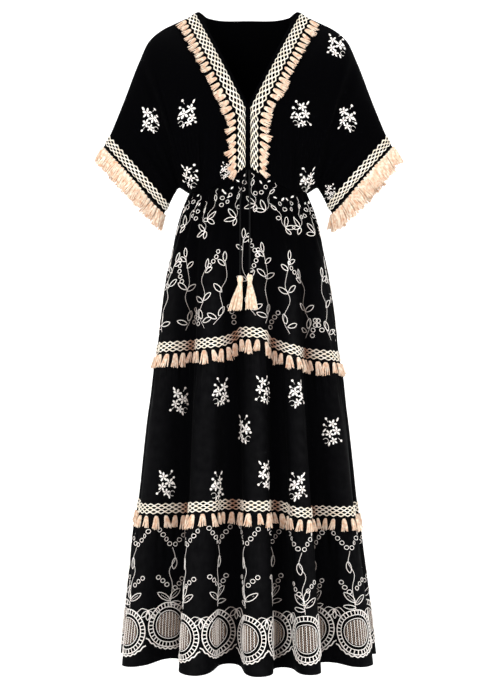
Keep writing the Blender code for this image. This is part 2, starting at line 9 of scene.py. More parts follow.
import bmesh
import bpy
import numpy as np
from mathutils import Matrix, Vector


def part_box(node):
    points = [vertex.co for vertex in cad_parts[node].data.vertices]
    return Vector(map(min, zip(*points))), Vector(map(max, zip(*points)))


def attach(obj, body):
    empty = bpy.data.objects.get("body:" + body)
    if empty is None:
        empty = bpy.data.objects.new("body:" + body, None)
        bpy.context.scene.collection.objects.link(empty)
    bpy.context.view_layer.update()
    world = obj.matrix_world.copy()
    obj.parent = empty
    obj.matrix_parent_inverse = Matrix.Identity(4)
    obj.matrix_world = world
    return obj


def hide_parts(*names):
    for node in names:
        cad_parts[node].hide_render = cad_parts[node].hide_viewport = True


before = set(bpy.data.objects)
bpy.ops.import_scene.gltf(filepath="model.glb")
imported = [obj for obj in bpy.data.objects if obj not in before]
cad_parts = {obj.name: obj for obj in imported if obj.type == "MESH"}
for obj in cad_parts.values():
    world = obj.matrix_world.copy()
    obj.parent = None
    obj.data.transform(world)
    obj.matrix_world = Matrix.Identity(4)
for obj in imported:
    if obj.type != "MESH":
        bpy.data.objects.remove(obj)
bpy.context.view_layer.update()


def table(names, *rows):
    """The named columns of a table, each one an array."""
    return dict(zip(names.split(), np.array(rows, float).T))


# Walls and the clearances between pieces
WALL = 0.0015
SEAM = 0.0003
WAIST_SEAM = 0.0006
BRAID_WIDE = 0.022

# The waist, an ellipse under an arched front seam
WAIST_WIDE = 0.117
WAIST_DEEP = 0.084
WAIST_ARCH = table(
    "turn height",
    (0, -0.319), (9, -0.3345), (34, -0.358), (50, -0.367), (90, -0.366), (180, -0.366),
)

# The skirt's half sizes down its length, and how deep its flutes are
SKIRT = table(
    "height left right deep flute",
    (-1.300, 0.259, 0.261, 0.212, 0.0400),
    (-1.218, 0.250, 0.252, 0.205, 0.0370),
    (-1.138, 0.241, 0.242, 0.198, 0.0340),
    (-1.058, 0.232, 0.232, 0.190, 0.0310),
    (-0.978, 0.220, 0.221, 0.180, 0.0270),
    (-0.898, 0.212, 0.213, 0.172, 0.0240),
    (-0.818, 0.204, 0.204, 0.163, 0.0200),
    (-0.738, 0.192, 0.193, 0.152, 0.0160),
    (-0.672, 0.183, 0.183, 0.143, 0.0130),
    (-0.618, 0.176, 0.177, 0.136, 0.0100),
    (-0.538, 0.165, 0.165, 0.125, 0.0070),
    (-0.478, 0.152, 0.152, 0.114, 0.0040),
    (-0.438, 0.141, 0.141, 0.105, 0.0020),
    (-0.398, 0.128, 0.128, 0.094, 0.0008),
    (-0.366, 0.117, 0.117, 0.084, 0.0000),
    (-0.300, 0.117, 0.117, 0.084, 0.0000),
)

# The flutes round the skirt: degrees from the centre front to the wearer's left, which is the
# right of the picture. Lift is how far the hem rises in the valley after the crest.
FLUTES = table(
    "crest valley depth lift",
    (5, 18, 0.80, 0.006),
    (29, 44, 0.90, 0.008),
    (64, 84, 1.00, 0.010),
    (103, 118, 0.95, 0.010),
    (134, 149, 0.90, 0.010),
    (163, 178, 0.85, 0.010),
    (192, 207, 0.90, 0.010),
    (223, 238, 0.90, 0.010),
    (254, 273, 0.95, 0.010),
    (297, 317, 1.00, 0.016),
    (336, 351, 0.95, 0.014),
)
FLUTE_LEAN = 0.24

# Seams between the tiers, by degrees from the centre front
SEAM_HIGH = table(
    "turn height",
    (-180, -0.686), (-90, -0.676), (-30, -0.666), (-13, -0.659), (-3, -0.643), (7, -0.645),
    (20, -0.668), (38, -0.683), (90, -0.692), (180, -0.686),
)
SEAM_LOW = table(
    "turn height",
    (-180, -0.990), (-90, -0.988), (-45, -0.985), (-15, -0.974), (12, -0.974), (32, -0.989),
    (90, -0.993), (180, -0.990),
)
HEM = -1.292

# Gathers under the waist seam, by the distance below it
GATHERS = 30
GATHER = table(
    "below depth",
    (0.000, 0.0000), (0.014, 0.0028), (0.060, 0.0024), (0.130, 0.0009), (0.190, 0.0000),
)

# Sections across the bodice front, from the centre edge to the cuff: the ends and the middle of
# each line, the middle's depth, the angle where a line ends on the waist, and its shape
FRONT = table(
    "top_x top_z mid_x mid_z deep turn end_x end_z bend crown under",
    (0.0990, -0.0020, 0.0000, -0.2024, 0.100, 0.0, 0.0000, -0.319, 1.0, 1.00, 1.0),
    (0.1045, -0.0050, 0.0045, -0.2070, 0.100, 2.2, 0.0045, -0.323, 1.0, 1.00, 1.0),
    (0.1238, -0.0155, 0.0210, -0.2230, 0.099, 10.3, 0.0210, -0.336, 1.0, 1.00, 1.0),
    (0.1470, -0.0260, 0.0740, -0.2220, 0.095, 40.0, 0.0752, -0.362, 0.6, 0.90, 1.0),
    (0.1710, -0.0380, 0.1130, -0.2256, 0.085, 63.0, 0.1042, -0.367, 0.3, 0.75, 1.0),
    (0.1970, -0.0600, 0.1480, -0.2390, 0.068, 90.0, 0.1170, -0.366, 0.0, 0.60, 0.8),
    (0.2190, -0.1060, 0.1680, -0.2407, 0.052, 90.0, 0.1370, -0.355, 0.0, 0.50, 0.6),
    (0.2490, -0.1840, 0.1910, -0.2750, 0.042, 90.0, 0.1450, -0.364, 0.0, 0.50, 0.5),
    (0.2760, -0.2490, 0.2090, -0.3256, 0.036, 90.0, 0.1570, -0.387, 0.0, 0.50, 0.5),
    (0.2870, -0.2700, 0.2250, -0.3410, 0.035, 90.0, 0.1670, -0.404, 0.0, 0.50, 0.5),
)
FRONT_SIDE = 5
FRONT_CUFF = 8

# The same across the back, from its centre
BACK = table(
    "top_x top_y top_z mid_x mid_z deep turn end_x end_z bend crown under",
    (0.0000, 0.062, -0.0080, 0.0000, -0.2000, 0.092, 0, 0.0000, -0.366, 0, 1.00, 1.0),
    (0.0480, 0.055, -0.0095, 0.0350, -0.2000, 0.094, 17, 0.0342, -0.366, 0, 1.00, 1.0),
    (0.0830, 0.034, -0.0070, 0.0600, -0.2030, 0.095, 30, 0.0585, -0.366, 0, 0.90, 1.0),
    (0.0990, 0.000, -0.0020, 0.0780, -0.2080, 0.094, 40, 0.0752, -0.366, 0, 0.80, 1.0),
    (0.1210, 0.000, -0.0140, 0.0960, -0.2130, 0.090, 50, 0.0896, -0.366, 0, 0.75, 1.0),
    (0.1470, 0.000, -0.0260, 0.1120, -0.2190, 0.084, 61, 0.1023, -0.366, 0, 0.70, 1.0),
    (0.1710, 0.000, -0.0380, 0.1300, -0.2280, 0.075, 75, 0.1130, -0.366, 0, 0.65, 0.9),
    (0.1970, 0.000, -0.0600, 0.1480, -0.2390, 0.064, 90, 0.1170, -0.366, 0, 0.60, 0.8),
    (0.2190, 0.000, -0.1060, 0.1680, -0.2407, 0.050, 90, 0.1370, -0.355, 0, 0.50, 0.6),
    (0.2490, 0.000, -0.1840, 0.1910, -0.2750, 0.041, 90, 0.1450, -0.364, 0, 0.50, 0.5),
    (0.2760, 0.000, -0.2490, 0.2090, -0.3256, 0.036, 90, 0.1570, -0.387, 0, 0.50, 0.5),
    (0.2870, 0.000, -0.2700, 0.2250, -0.3410, 0.035, 90, 0.1670, -0.404, 0, 0.50, 0.5),
)
BACK_SIDE = 7
BACK_CUFF = 10

# Soft folds: the section each runs along, its half width in sections, its depth, and where it
# starts and ends between the shoulder, 0, and the waist or underarm, 1
FRONT_FOLDS = table(
    "place reach depth start end",
    (2.50, 0.16, 0.0040, 0.45, 1.0),
    (2.83, 0.16, 0.0040, 0.50, 1.0),
    (3.25, 0.22, 0.0040, 0.55, 1.0),
    (3.75, 0.25, 0.0030, 0.60, 1.0),
    (5.50, 0.50, 0.0070, 0.02, 1.0),
    (6.50, 0.50, 0.0060, 0.00, 1.0),
    (7.50, 0.40, 0.0040, 0.10, 0.9),
)
BACK_FOLDS = table(
    "place reach depth start end",
    (0.50, 0.50, 0.0030, 0.50, 1.0),
    (1.50, 0.50, 0.0030, 0.50, 1.0),
    (2.50, 0.50, 0.0030, 0.55, 1.0),
    (7.50, 0.50, 0.0070, 0.05, 1.0),
    (8.50, 0.50, 0.0060, 0.00, 1.0),
    (9.50, 0.50, 0.0040, 0.10, 0.9),
)

# Ties and their tassels: where each hangs across the front, and its heights
TIE_RADIUS = 0.0016
TIES = table(
    "start across top foot lean half",
    (-0.0026, -0.0150, -0.3270, -0.5350, -0.0105, 0.0145),
    (0.0026, 0.0035, -0.3270, -0.5330, 0.0035, 0.0130),
)
# Heights below a tie's foot that its tassel's head takes up, and how far the head stands off
HEAD_DOWN = (0.0, 0.003, 0.009, 0.013, 0.018)
HEAD_OFF = 0.0085


def smooth(at, knots, values):
    """Value at each place along a curve through the knots, with no overshoot."""
    order = np.argsort(knots)
    knots = np.asarray(knots, float)[order]
    values = np.asarray(values, float)[order]
    step = np.diff(knots)
    rise = np.diff(values) / step
    slope = np.zeros_like(values)
    both = rise[1:] * rise[:-1]
    total = np.where(both > 0, rise[1:] + rise[:-1], 1)
    slope[1:-1] = np.where(both > 0, 2 * both / total, 0)
    slope[0] = rise[0]
    slope[-1] = rise[-1]
    at = np.clip(np.asarray(at, float), knots[0], knots[-1])
    i = np.clip(np.searchsorted(knots, at, side="right") - 1, 0, len(step) - 1)
    s = (at - knots[i]) / step[i]
    start = values[i] * (1 + 2 * s) + step[i] * slope[i] * s
    end = values[i + 1] * (3 - 2 * s) - step[i] * slope[i + 1] * (1 - s)
    return start * (1 - s) ** 2 + end * s * s


def ramp(at, low, high):
    """0 below low, 1 above high, and smooth between."""
    s = np.clip((at - low) / (high - low), 0, 1)
    return s * s * (3 - 2 * s)


def unit(vectors):
    return vectors / np.linalg.norm(vectors, axis=-1, keepdims=True)


def round_the_skirt(turn, name):
    """A flute column's value at each angle: the crest's, or the valley's for phase and lift."""
    laps = np.arange(-1, 3)[:, None]
    crest = (FLUTES["crest"] + 360 * laps).ravel()
    valley = (FLUTES["valley"] + 360 * laps).ravel()
    if name == "depth":
        return smooth(turn, crest, np.tile(FLUTES["depth"], 4))
    at = np.concatenate([crest, valley])
    if name == "lift":
        return smooth(turn, at, np.concatenate([0 * crest, np.tile(FLUTES["lift"], 4)]))
    phase = 2 * np.pi * np.arange(len(crest))
    return smooth(turn, at, np.concatenate([phase, phase + np.pi]))


def ring(height, turn):
    """The skirt's outline at one height, seen from above."""
    left, right, deep, flute = (
        smooth(height, SKIRT["height"], SKIRT[name]) for name in ("left", "right", "deep", "flute")
    )
    wide = (left + right) / 2
    angle = np.radians(turn)
    place = np.stack([wide * np.sin(angle), -deep * np.cos(angle)], axis=-1)
    out = unit(np.stack([np.sin(angle) / wide, -np.cos(angle) / deep], axis=-1))
    along = np.stack([-out[:, 1], out[:, 0]], axis=-1)
    phase = round_the_skirt(turn, "phase")
    size = (flute * round_the_skirt(turn, "depth"))[:, None]
    place = place + out * size * np.cos(phase)[:, None]
    place = place + along * FLUTE_LEAN * size * np.sin(2 * phase)[:, None]
    low = place.min(axis=0)
    high = place.max(axis=0)
    goal = np.array([[-left, -deep], [right, deep]])
    return goal[0] + (place - low) * (goal[1] - goal[0]) / (high - low)


# The skirt's table of points: its levels, the steps round each half of it, and the finer steps
# round the whole that they are measured on
LEVELS = np.linspace(-1.30, -0.30, 51)
HALF = 360
FINE = 4 * HALF


def gone_along(line):
    """The length of a line of points up to each of them."""
    return np.concatenate([[0], np.cumsum(np.linalg.norm(np.diff(line, axis=0), axis=1))])


def skirt_table():
    """Points at equal lengths round each half of the skirt, a row for each level."""
    turn = np.linspace(-90, 270, FINE + 1)
    rows = []
    for height in LEVELS:
        outline = ring(height, turn)
        gone = gone_along(outline)
        side = gone[FINE // 2]
        stops = np.concatenate(
            [np.linspace(0, side, HALF + 1), np.linspace(side, gone[-1], HALF + 1)[1:]]
        )
        columns = (outline[:, 0], outline[:, 1], turn)
        rows.append(np.stack([np.interp(stops, gone, column) for column in columns], axis=-1))
    return np.array(rows)


SKIRT_POINTS = skirt_table()


def skirt_look(u, height):
    """x, y and the angle at u, 0 to 1 round the front and 1 to 2 round the back."""
    across = np.mod(u, 2) * HALF
    level = np.clip((height - LEVELS[0]) / (LEVELS[1] - LEVELS[0]), 0, len(LEVELS) - 1.001)
    i = np.floor(level).astype(int)
    j = np.minimum(np.floor(across).astype(int), 2 * HALF - 1)
    a = (level - i)[..., None]
    b = (across - j)[..., None]
    low = SKIRT_POINTS[i, j] * (1 - b) + SKIRT_POINTS[i, j + 1] * b
    high = SKIRT_POINTS[i + 1, j] * (1 - b) + SKIRT_POINTS[i + 1, j + 1] * b
    return low * (1 - a) + high * a


# The height at which the angles of each seam are read
SEAM_LEVELS = {"waist": -0.35, "high": -0.67, "low": -0.985, "hem": HEM}


def seam_height(u, seam):
    """The height of a seam round the skirt, or of the hem."""
    turn = skirt_look(u, np.full_like(u, SEAM_LEVELS[seam]))[..., 2]
    if seam == "hem":
        return HEM + round_the_skirt(turn, "lift")
    turn = np.where(turn > 180, turn - 360, turn)
    if seam == "waist":
        return smooth(np.abs(turn), WAIST_ARCH["turn"], WAIST_ARCH["height"])
    rows = SEAM_HIGH if seam == "high" else SEAM_LOW
    return smooth(turn, rows["turn"], rows["height"])


def flat_skirt(u, height):
    return np.concatenate([skirt_look(u, height)[..., :2], height[..., None]], axis=-1)


def skirt_side(u, height):
    """The level direction out of the skirt, gathers left out."""
    along = flat_skirt(u + 0.002, height) - flat_skirt(u - 0.002, height)
    return unit(np.stack([along[..., 1], -along[..., 0], 0 * u], axis=-1))


def skirt_point(u, height):
    """A point of the skirt's outer face, gathers included."""
    below = seam_height(u, "waist") - height
    size = smooth(below, GATHER["below"], GATHER["depth"])
    wave = (size * np.cos(np.pi * GATHERS * u))[..., None]
    return flat_skirt(u, height) + skirt_side(u, height) * wave


def bodice_point(rows, folds, side_line, face, hand, place, down):
    """A point of the bodice's outer face. Face is -1 in front and 1 behind, hand is the side."""
    line = np.arange(len(rows["top_x"]))
    value = {name: smooth(place, line, column) for name, column in rows.items()}
    angle = np.radians(value["turn"])
    on_waist = place <= side_line
    end_x = np.where(on_waist, WAIST_WIDE * np.sin(angle), value["end_x"])
    end_y = np.where(on_waist, WAIST_DEEP * np.cos(angle), 0)
    turn = value["turn"] if face < 0 else 180 - value["turn"]
    arch = smooth(turn, WAIST_ARCH["turn"], WAIST_ARCH["height"])
    end_z = np.where(on_waist, arch + WAIST_SEAM, value["end_z"] + WAIST_SEAM)
    first = down < 0.5

    def drawn(top, middle, end):
        curve = top * (1 - down) * (1 - 2 * down) + 4 * middle * down * (1 - down)
        curve = curve + end * down * (2 * down - 1)
        straight = np.where(
            first, top + (middle - top) * 2 * down, middle + (end - middle) * (2 * down - 1)
        )
        return value["bend"] * straight + (1 - value["bend"]) * curve

    x = drawn(value["top_x"], value["mid_x"], end_x)
    z = drawn(value["top_z"], value["mid_z"], end_z)
    top_y = value.get("top_y", 0 * place)
    swell = np.clip(np.sin(np.pi * down), 1e-9, 1)
    high = top_y + (value["deep"] - top_y) * swell ** value["crown"]
    low = end_y + (value["deep"] - end_y) * swell ** value["under"]
    y = np.where(first, high, low)
    for spot, reach, depth, start, end in zip(*(folds[name] for name in folds)):
        near = np.cos(np.clip((place - spot) / reach, -1, 1) * np.pi / 2) ** 2
        part = np.clip((down - start) / (end - start), 0, 1)
        y = y + depth * near * np.sin(np.pi * part) ** 0.7
    return np.stack([hand * (x + SEAM / 2), face * (y + SEAM / 2), z], axis=-1)


def front_point(hand, place, down):
    return bodice_point(FRONT, FRONT_FOLDS, FRONT_SIDE, -1, hand, place, down)


def back_point(hand, place, down):
    return bodice_point(BACK, BACK_FOLDS, BACK_SIDE, 1, hand, place, down)


def front_of_skirt(across, height, reach):
    """How far forward the skirt comes within a reach of one line down its front."""
    u = np.linspace(0.2, 0.8, 400)
    points = skirt_point(u, np.full_like(u, height))
    near = np.abs(points[:, 0] - across) < reach
    return points[near, 1].min()


def tie_path(start, across, top, foot):
    """A tie's middle line, which lies on the front of the skirt and never bends back."""
    heights = top + (foot - top) * np.linspace(0, 1, 12) ** 1.2
    drawn = start + (across - start) * ramp(top - heights, 0, 0.06)
    deep = [front_of_skirt(x, z, 0.007) for x, z in zip(drawn, heights)]
    clear = SEAM + 0.0025 * ramp(top - heights, 0, 0.04)
    deep = np.minimum.accumulate(deep) - TIE_RADIUS - clear
    head = min(front_of_skirt(across, foot - z, 0.010) for z in HEAD_DOWN) - HEAD_OFF
    deep = deep + (min(head, deep[-1]) - deep[-1]) * ramp(top - heights, 0.1, top - foot)
    return np.stack([drawn, deep, heights], axis=-1)


# The camera and the photo's frame: one px of 500 by 700 is 2 mm at the dress's middle plane
PX = 0.002
FRAME_HIGH = 700 * PX
FRAME_MIDDLE = (250, 350)
CAMERA_OFF = 3.4
CAMERA_AT = (0.004, -CAMERA_OFF, -0.678)


def from_photo(x, y, forward=0.0):
    """Across and height of a photo point that lies a distance in front of the middle plane."""
    near = 1 - forward / CAMERA_OFF
    return (
        CAMERA_AT[0] + (x - FRAME_MIDDLE[0]) * PX * near,
        CAMERA_AT[2] + (FRAME_MIDDLE[1] - y) * PX * near,
    )


def linear(code):
    """An sRGB hex colour as linear red, green, blue and alpha."""
    parts = [int(code[i : i + 2], 16) / 255 for i in (1, 3, 5)]
    return [p / 12.92 if p <= 0.04045 else ((p + 0.055) / 1.055) ** 2.4 for p in parts] + [1.0]


def add(tree, kind, links=(), **values):
    """Adds a node with its settings, its sockets' values and its links to earlier nodes."""
    node = tree.nodes.new(kind)
    for key, value in values.items():
        if hasattr(node, key):
            setattr(node, key, value)
        else:
            node.inputs[key.replace("_", " ").title()].default_value = value
    for socket, source, output in links:
        tree.links.new(source.outputs[output], node.inputs[socket])
    return node


def finish_of(name, roughness, sheen, gloss, look):
    """A material whose look function gives the shader its colour and bump."""
    made = bpy.data.materials.new(name)
    made.use_nodes = True
    tree = made.node_tree
    shader = tree.nodes["Principled BSDF"]
    shader.inputs["Roughness"].default_value = roughness
    shader.inputs["Sheen Weight"].default_value = sheen
    shader.inputs["Sheen Roughness"].default_value = 0.5
    shader.inputs["Specular IOR Level"].default_value = gloss
    colour, bump = look(tree)
    tree.links.new(colour, shader.inputs["Base Color"])
    tree.links.new(bump, shader.inputs["Normal"])
    return made


def two_tone(tree, mask, dark, light):
    """A colour between two others, as far as a mask says."""
    mix = add(tree, "ShaderNodeMix", data_type="RGBA")
    mix.inputs[6].default_value = linear(dark)
    mix.inputs[7].default_value = linear(light)
    tree.links.new(mask, mix.inputs[0])
    return mix.outputs[2]


# Real threads of the cloth are 0.3 mm apart and would not show, so they are drawn at 1.1 mm
DRAWN_THREAD = 0.0011
# How far apart a wave texture of scale 1 sets its bands, straight and diagonal
STRAIGHT_BANDS = 0.314
DIAGONAL_BANDS = 0.363


def viscose(tree):
    """Plain weave with slow slubs, and a painted highlight: lighter along the crests of the skirt's
    folds.
    """
    place = add(tree, "ShaderNodeUVMap", uv_map="weave")
    there = [("Vector", place, "UV")]
    bands = {"scale": STRAIGHT_BANDS / DRAWN_THREAD, "distortion": 1.5, "detail": 1.0}
    weft = add(tree, "ShaderNodeTexWave", there, bands_direction="X", **bands)
    warp = add(tree, "ShaderNodeTexWave", there, bands_direction="Y", **bands)
    both = add(tree, "ShaderNodeMath", [(0, weft, "Fac"), (1, warp, "Fac")], operation="MULTIPLY")
    slub = add(tree, "ShaderNodeTexNoise", there, scale=60.0, detail=3.0)
    bump = add(tree, "ShaderNodeBump", [("Height", both, 0)], strength=0.25, distance=0.0004)
    # Painted highlight: the slubs lighten the cloth only as far as the crest value, so the crests
    # of the skirt's folds are painted lighter while the hollows and the bodice keep the dark colour
    crest = add(tree, "ShaderNodeAttribute", attribute_name="crest")
    tone = add(tree, "ShaderNodeMath", [(0, slub, "Fac"), (1, crest, "Fac")], operation="MULTIPLY")
    return two_tone(tree, tone.outputs[0], "#020203", "#141415"), bump.outputs[0]


def spun(pitch, dark, light, depth, shade=None, most=0.7):
    """Thread: fine twist at the given pitch, and a slow change of tone along it. It may be
    multiplied towards a painted shade, at most the given share, where the piece's fold value says
    that it lies in a fold of the skirt.
    """

    def look(tree):
        place = add(tree, "ShaderNodeTexCoord")
        there = [("Vector", place, "Object")]
        bands = {"scale": DIAGONAL_BANDS / pitch, "distortion": 2.0, "detail": 2.0}
        twist = add(
            tree, "ShaderNodeTexWave", there, bands_direction="DIAGONAL", **bands, detail_scale=2.0
        )
        tone = add(tree, "ShaderNodeTexNoise", there, scale=1 / (pitch * 7), detail=3.0)
        height = [("Height", twist, "Fac")]
        bump = add(tree, "ShaderNodeBump", height, strength=0.35, distance=depth)
        value = [("Value", tone, "Fac")]
        spread = add(tree, "ShaderNodeMapRange", value, from_min=0.32, from_max=0.68)
        colour = two_tone(tree, spread.outputs[0], dark, light)
        # Painted shade: where the fold value says the thread lies deep in a skirt fold, its colour
        # is multiplied towards the shade colour
        if shade:
            fold = add(tree, "ShaderNodeAttribute", attribute_name="fold")
            part = add(tree, "ShaderNodeMath", [(0, fold, "Fac")], operation="MULTIPLY")
            part.inputs[1].default_value = most
            share = [(0, part, 0)]
            deep = add(tree, "ShaderNodeMix", share, data_type="RGBA", blend_type="MULTIPLY")
            deep.inputs[7].default_value = linear(shade)
            tree.links.new(colour, deep.inputs[6])
            colour = deep.outputs[2]
        return colour, bump.outputs[0]

    return look


# Viscose challis, woven plain and dyed black: matt, with a faint soft sheen, and a painted
# highlight along the crests of the skirt's folds
VISCOSE = finish_of("viscose_challis_black", 0.7, 0.004, 0.009, viscose)
# Cotton gimp braid, undyed cream: ropy and matt, with painted shade, warmer and darker, where it
# lies in the skirt's folds
GIMP = spun(0.0012, "#F4E6CF", "#FFFBF2", 0.0003, "#7A4A2E", 0.95)
BRAID_YARN = finish_of("cotton_gimp_cream", 0.8, 0.1, 0.2, GIMP)
# Rayon tassel thread in peach cream: soft and silky, tone changes from tassel to tassel, with
# painted shade where it hangs in the skirt's folds
PEACH = spun(0.0009, "#E1B18D", "#FFF2DF", 0.0003, "#8A5638", 0.55)
TASSEL_YARN = finish_of("rayon_thread_peach", 0.6, 0.15, 0.3, PEACH)
# The ties' own tassels are of a lighter, creamier thread than the fringes
CREAM = spun(0.0009, "#E3BC98", "#FFF3E0", 0.0003)
TIE_TASSEL = finish_of("rayon_thread_cream", 0.6, 0.1, 0.3, CREAM)
# Rayon embroidery floss, ivory, laid in satin and stem stitch: a low lustre on raised lines, with
# strong painted shade where it lies in the skirt's folds
IVORY = spun(0.0007, "#F2E8E0", "#FFFCF8", 0.00015, "#5A483D", 0.85)
FLOSS = finish_of("rayon_floss_ivory", 0.5, 0.05, 0.3, IVORY)
# The same floss in tan, for the lattice in the medallions
TAN = spun(0.0007, "#6B574B", "#94806F", 0.0002)
FLOSS_TAN = finish_of("rayon_floss_tan", 0.55, 0.05, 0.3, TAN)
# Viscose tie cord, black: a fine round cord with a slight sheen
BLACK = spun(0.0012, "#040405", "#0C0C0D", 0.0004)
TIE_YARN = finish_of("viscose_cord_black", 0.7, 0.02, 0.1, BLACK)


def linked(name, data):
    """A new object in the scene, with the given mesh, curve, lens or lamp."""
    thing = bpy.data.objects.new(name, data)
    bpy.context.scene.collection.objects.link(thing)
    return thing


def join(name, material, *nodes, shape=None, material_slot="cloth"):
    """Links a mesh or curve as a piece that rides on the dress and stands for CAD nodes."""
    piece = linked(name, shape)
    shape.materials.clear()
    shape.materials.append(material)
    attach(piece, "root")
    if nodes:
        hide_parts(*nodes)
    return piece


# Cloth


# How deep the fine creases are that the solids leave out: under the waist, under a tier seam, and
# the slow waves between them
WAIST_CREASE = 0.0011
SEAM_CREASE = 0.0022
SLOW_WAVE = 0.0014


def skirt_cloth(u, height):
    """The skirt with its fine creases: gathers under each seam and slow uneven waves."""
    waist = seam_height(u, "waist") - height
    size = WAIST_CREASE * ramp(waist, 0.003, 0.02) * (1 - ramp(waist, 0.03, 0.12))
    lift = size * np.cos(np.pi * 66 * u + 1.5 * np.sin(9 * np.pi * u))
    for seam, count in (("high", 84), ("low", 110)):
        under = seam_height(u, seam) - height
        size = SEAM_CREASE * ramp(under, 0.010, 0.024) * (1 - ramp(under, 0.03, 0.12))
        lift = lift + size * np.cos(np.pi * count * u + 2 * np.sin(7 * np.pi * u))
    slow = np.sin(np.pi * 22 * u + 0.7) + 0.7 * np.sin(np.pi * 36 * u + 9 * height)
    lift = lift + SLOW_WAVE * slow * ramp(waist, 0.02, 0.25)
    return skirt_point(u, height) + skirt_side(u, height) * lift[..., None]


def normal_on(surface, a, b, step_a, step_b):
    """The unit cross product of a surface's two directions."""
    along_a = surface(a + step_a, b) - surface(a - step_a, b)
    along_b = surface(a, b + step_b) - surface(a, b - step_b)
    return unit(np.cross(along_a, along_b))


def skirt_out(u, height):
    return normal_on(skirt_cloth, u, height, 0.002, 0.002)


# How deep the bodice's gathers above the waist are, and its sleeves' soft waves
BODICE_GATHER = 0.0011
SLEEVE_WAVE = 0.0022


def bodice_cloth(face, hand):
    """A bodice surface with fine gathers above the waist, and its outward direction: both are
    functions of place and down.
    """
    base = front_point if face < 0 else back_point

    def surface(place, down):
        point = base(hand, place, down)
        if face < 0:
            where = ramp(place, 2.25, 2.5) * (1 - ramp(place, 4.6, 5.1))
            wave = np.cos(2 * np.pi * 3.6 * place + 2 * np.sin(3 * place))
        else:
            where = 1 - ramp(place, 6.0, 7.0)
            wave = np.cos(2 * np.pi * 2.0 * place + 2 * np.sin(3 * place))
        part = np.clip((down - 0.52) / 0.48, 0, 1)
        drape = np.sin(np.pi * part) ** 0.8 * BODICE_GATHER * wave * where
        sleeve = ramp(place, 5, 6) * np.sin(np.pi * np.clip(down, 0, 1))
        drape = drape + SLEEVE_WAVE * sleeve * np.sin(2 * np.pi * 1.3 * place + 5 * down)
        point[..., 1] = point[..., 1] + face * drape
        return point

    def out(place, down):
        down = np.clip(down, 0.004, 0.996)
        return normal_on(surface, place, down, 0.004, 0.003) * hand * face

    return surface, out


def faced_out(bm, outs):
    """Turns the faces over if they look inward, by a sample of them."""
    bm.normal_update()
    bm.verts.index_update()
    facing = sum(face.normal.dot(outs[face.verts[0].index]) for face in list(bm.faces)[::7])
    if facing < 0:
        bmesh.ops.reverse_faces(bm, faces=bm.faces)


def finished(bm, name, closed=False):
    """A shape's smooth mesh. The two ends of a closed shape are joined."""
    if closed:
        bmesh.ops.remove_doubles(bm, verts=bm.verts, dist=1e-6)
    for face in bm.faces:
        face.smooth = True
    mesh = bpy.data.meshes.new(name)
    bm.to_mesh(mesh)
    bm.free()
    return mesh


def walled(piece, thick):
    """Gives a piece its wall, inward from its outer face."""
    wall = piece.modifiers.new("wall", "SOLIDIFY")
    wall.thickness = thick
    wall.offset = -1
    return piece


def cloth(name, nodes, columns, rows, surface, out, size, closed=False, spaced=None):
    """A cloth piece from a flat grid whose corners are moved to their places on the dress."""
    bm = bmesh.new()
    bmesh.ops.create_grid(bm, x_segments=columns, y_segments=rows, size=0.5)
    flat = np.array([corner.co[:2] for corner in bm.verts])
    across = spaced(flat[:, 0] + 0.5) if spaced else flat[:, 0] + 0.5
    down = 0.5 - flat[:, 1]
    weave = bm.loops.layers.uv.new("weave")
    for face in bm.faces:
        for loop in face.loops:
            i = loop.vert.index
            loop[weave].uv = (across[i] * size[0], down[i] * size[1])
    for corner, place in zip(bm.verts, surface(across, down)):
        corner.co = place
    faced_out(bm, out(across, down))
    mesh = finished(bm, name, closed)
    mark_folds(mesh)
    return walled(join(name, VISCOSE, *nodes, shape=mesh), WALL)


# Each tier's seams, its gaps to them, the columns and rows of its grid, and its flat size
TIERS = (
    ("upper", "waist", "high", WAIST_SEAM / 2, 0.0002, 520, 46, (1.20, 0.325)),
    ("middle", "high", "low", 0.0002, 0.0002, 560, 38, (1.62, 0.315)),
    ("bottom", "low", "hem", 0.0002, 0.0, 600, 38, (2.15, 0.305)),
)


def dress_skirt():
    for word, high, low, gap_high, gap_low, columns, rows, size in TIERS:

        def place(across, down, seams=(high, low, gap_high, gap_low)):
            u = across * 2
            top = seam_height(u, seams[0]) - seams[2]
            foot = seam_height(u, seams[1]) + seams[3]
            return u, top + (foot - top) * down

        piece = cloth(
            f"skirt_{word}_cloth",
            (f"skirt_{word}_front", f"skirt_{word}_back"),
            columns,
            rows,
            lambda across, down, at=place: skirt_cloth(*at(across, down)),
            lambda across, down, at=place: skirt_out(*at(across, down)),
            size,
            closed=True,
        )


def eased(down):
    """From 0 to 1, with rows closer together near both ends."""
    return (1 - np.cos(np.pi * down)) / 2


def dress_bodice():
    size = (0.34, 0.40)
    lines = len(FRONT["top_x"]) - 1
    for hand, word in ((-1, "left"), (1, "right")):
        base, base_out = bodice_cloth(-1, hand)
        piece = cloth(
            f"bodice_front_{word}_cloth",
            (f"bodice_front_{word}",),
            160,
            56,
            lambda across, down, s=base: s(across * lines, eased(down)),
            lambda across, down, s=base_out: s(across * lines, eased(down)),
            size,
            spaced=lambda across: np.interp(across, (0, 0.15, 0.67, 1), (0, 0.24, 0.57, 1)),
        )
    right, right_out = bodice_cloth(1, 1)
    left, left_out = bodice_cloth(1, -1)
    sections = len(BACK["top_x"]) - 1

    def both(one, other):
        def place(across, down):
            side = np.abs(across * 2 - 1) * sections
            a = one(side, eased(down))
            b = other(side, eased(down))
            return np.where((across > 0.5)[..., None], a, b)

        return place

    def surface(across, down):
        found = both(right, left)(across, down)
        found[np.abs(across - 0.5) < 1e-6, 0] = 0
        return found

    size = (0.68, 0.41)
    piece = cloth(
        "bodice_back_cloth", ("bodice_back",), 270, 50, surface, both(right_out, left_out), size
    )


# Braid and tassels


# How far under the shoulder the painted shade in the folds and the painted highlight on their
# crests begin, and where they are full
FOLDS_START = 0.45
FOLDS_FULL = 0.60


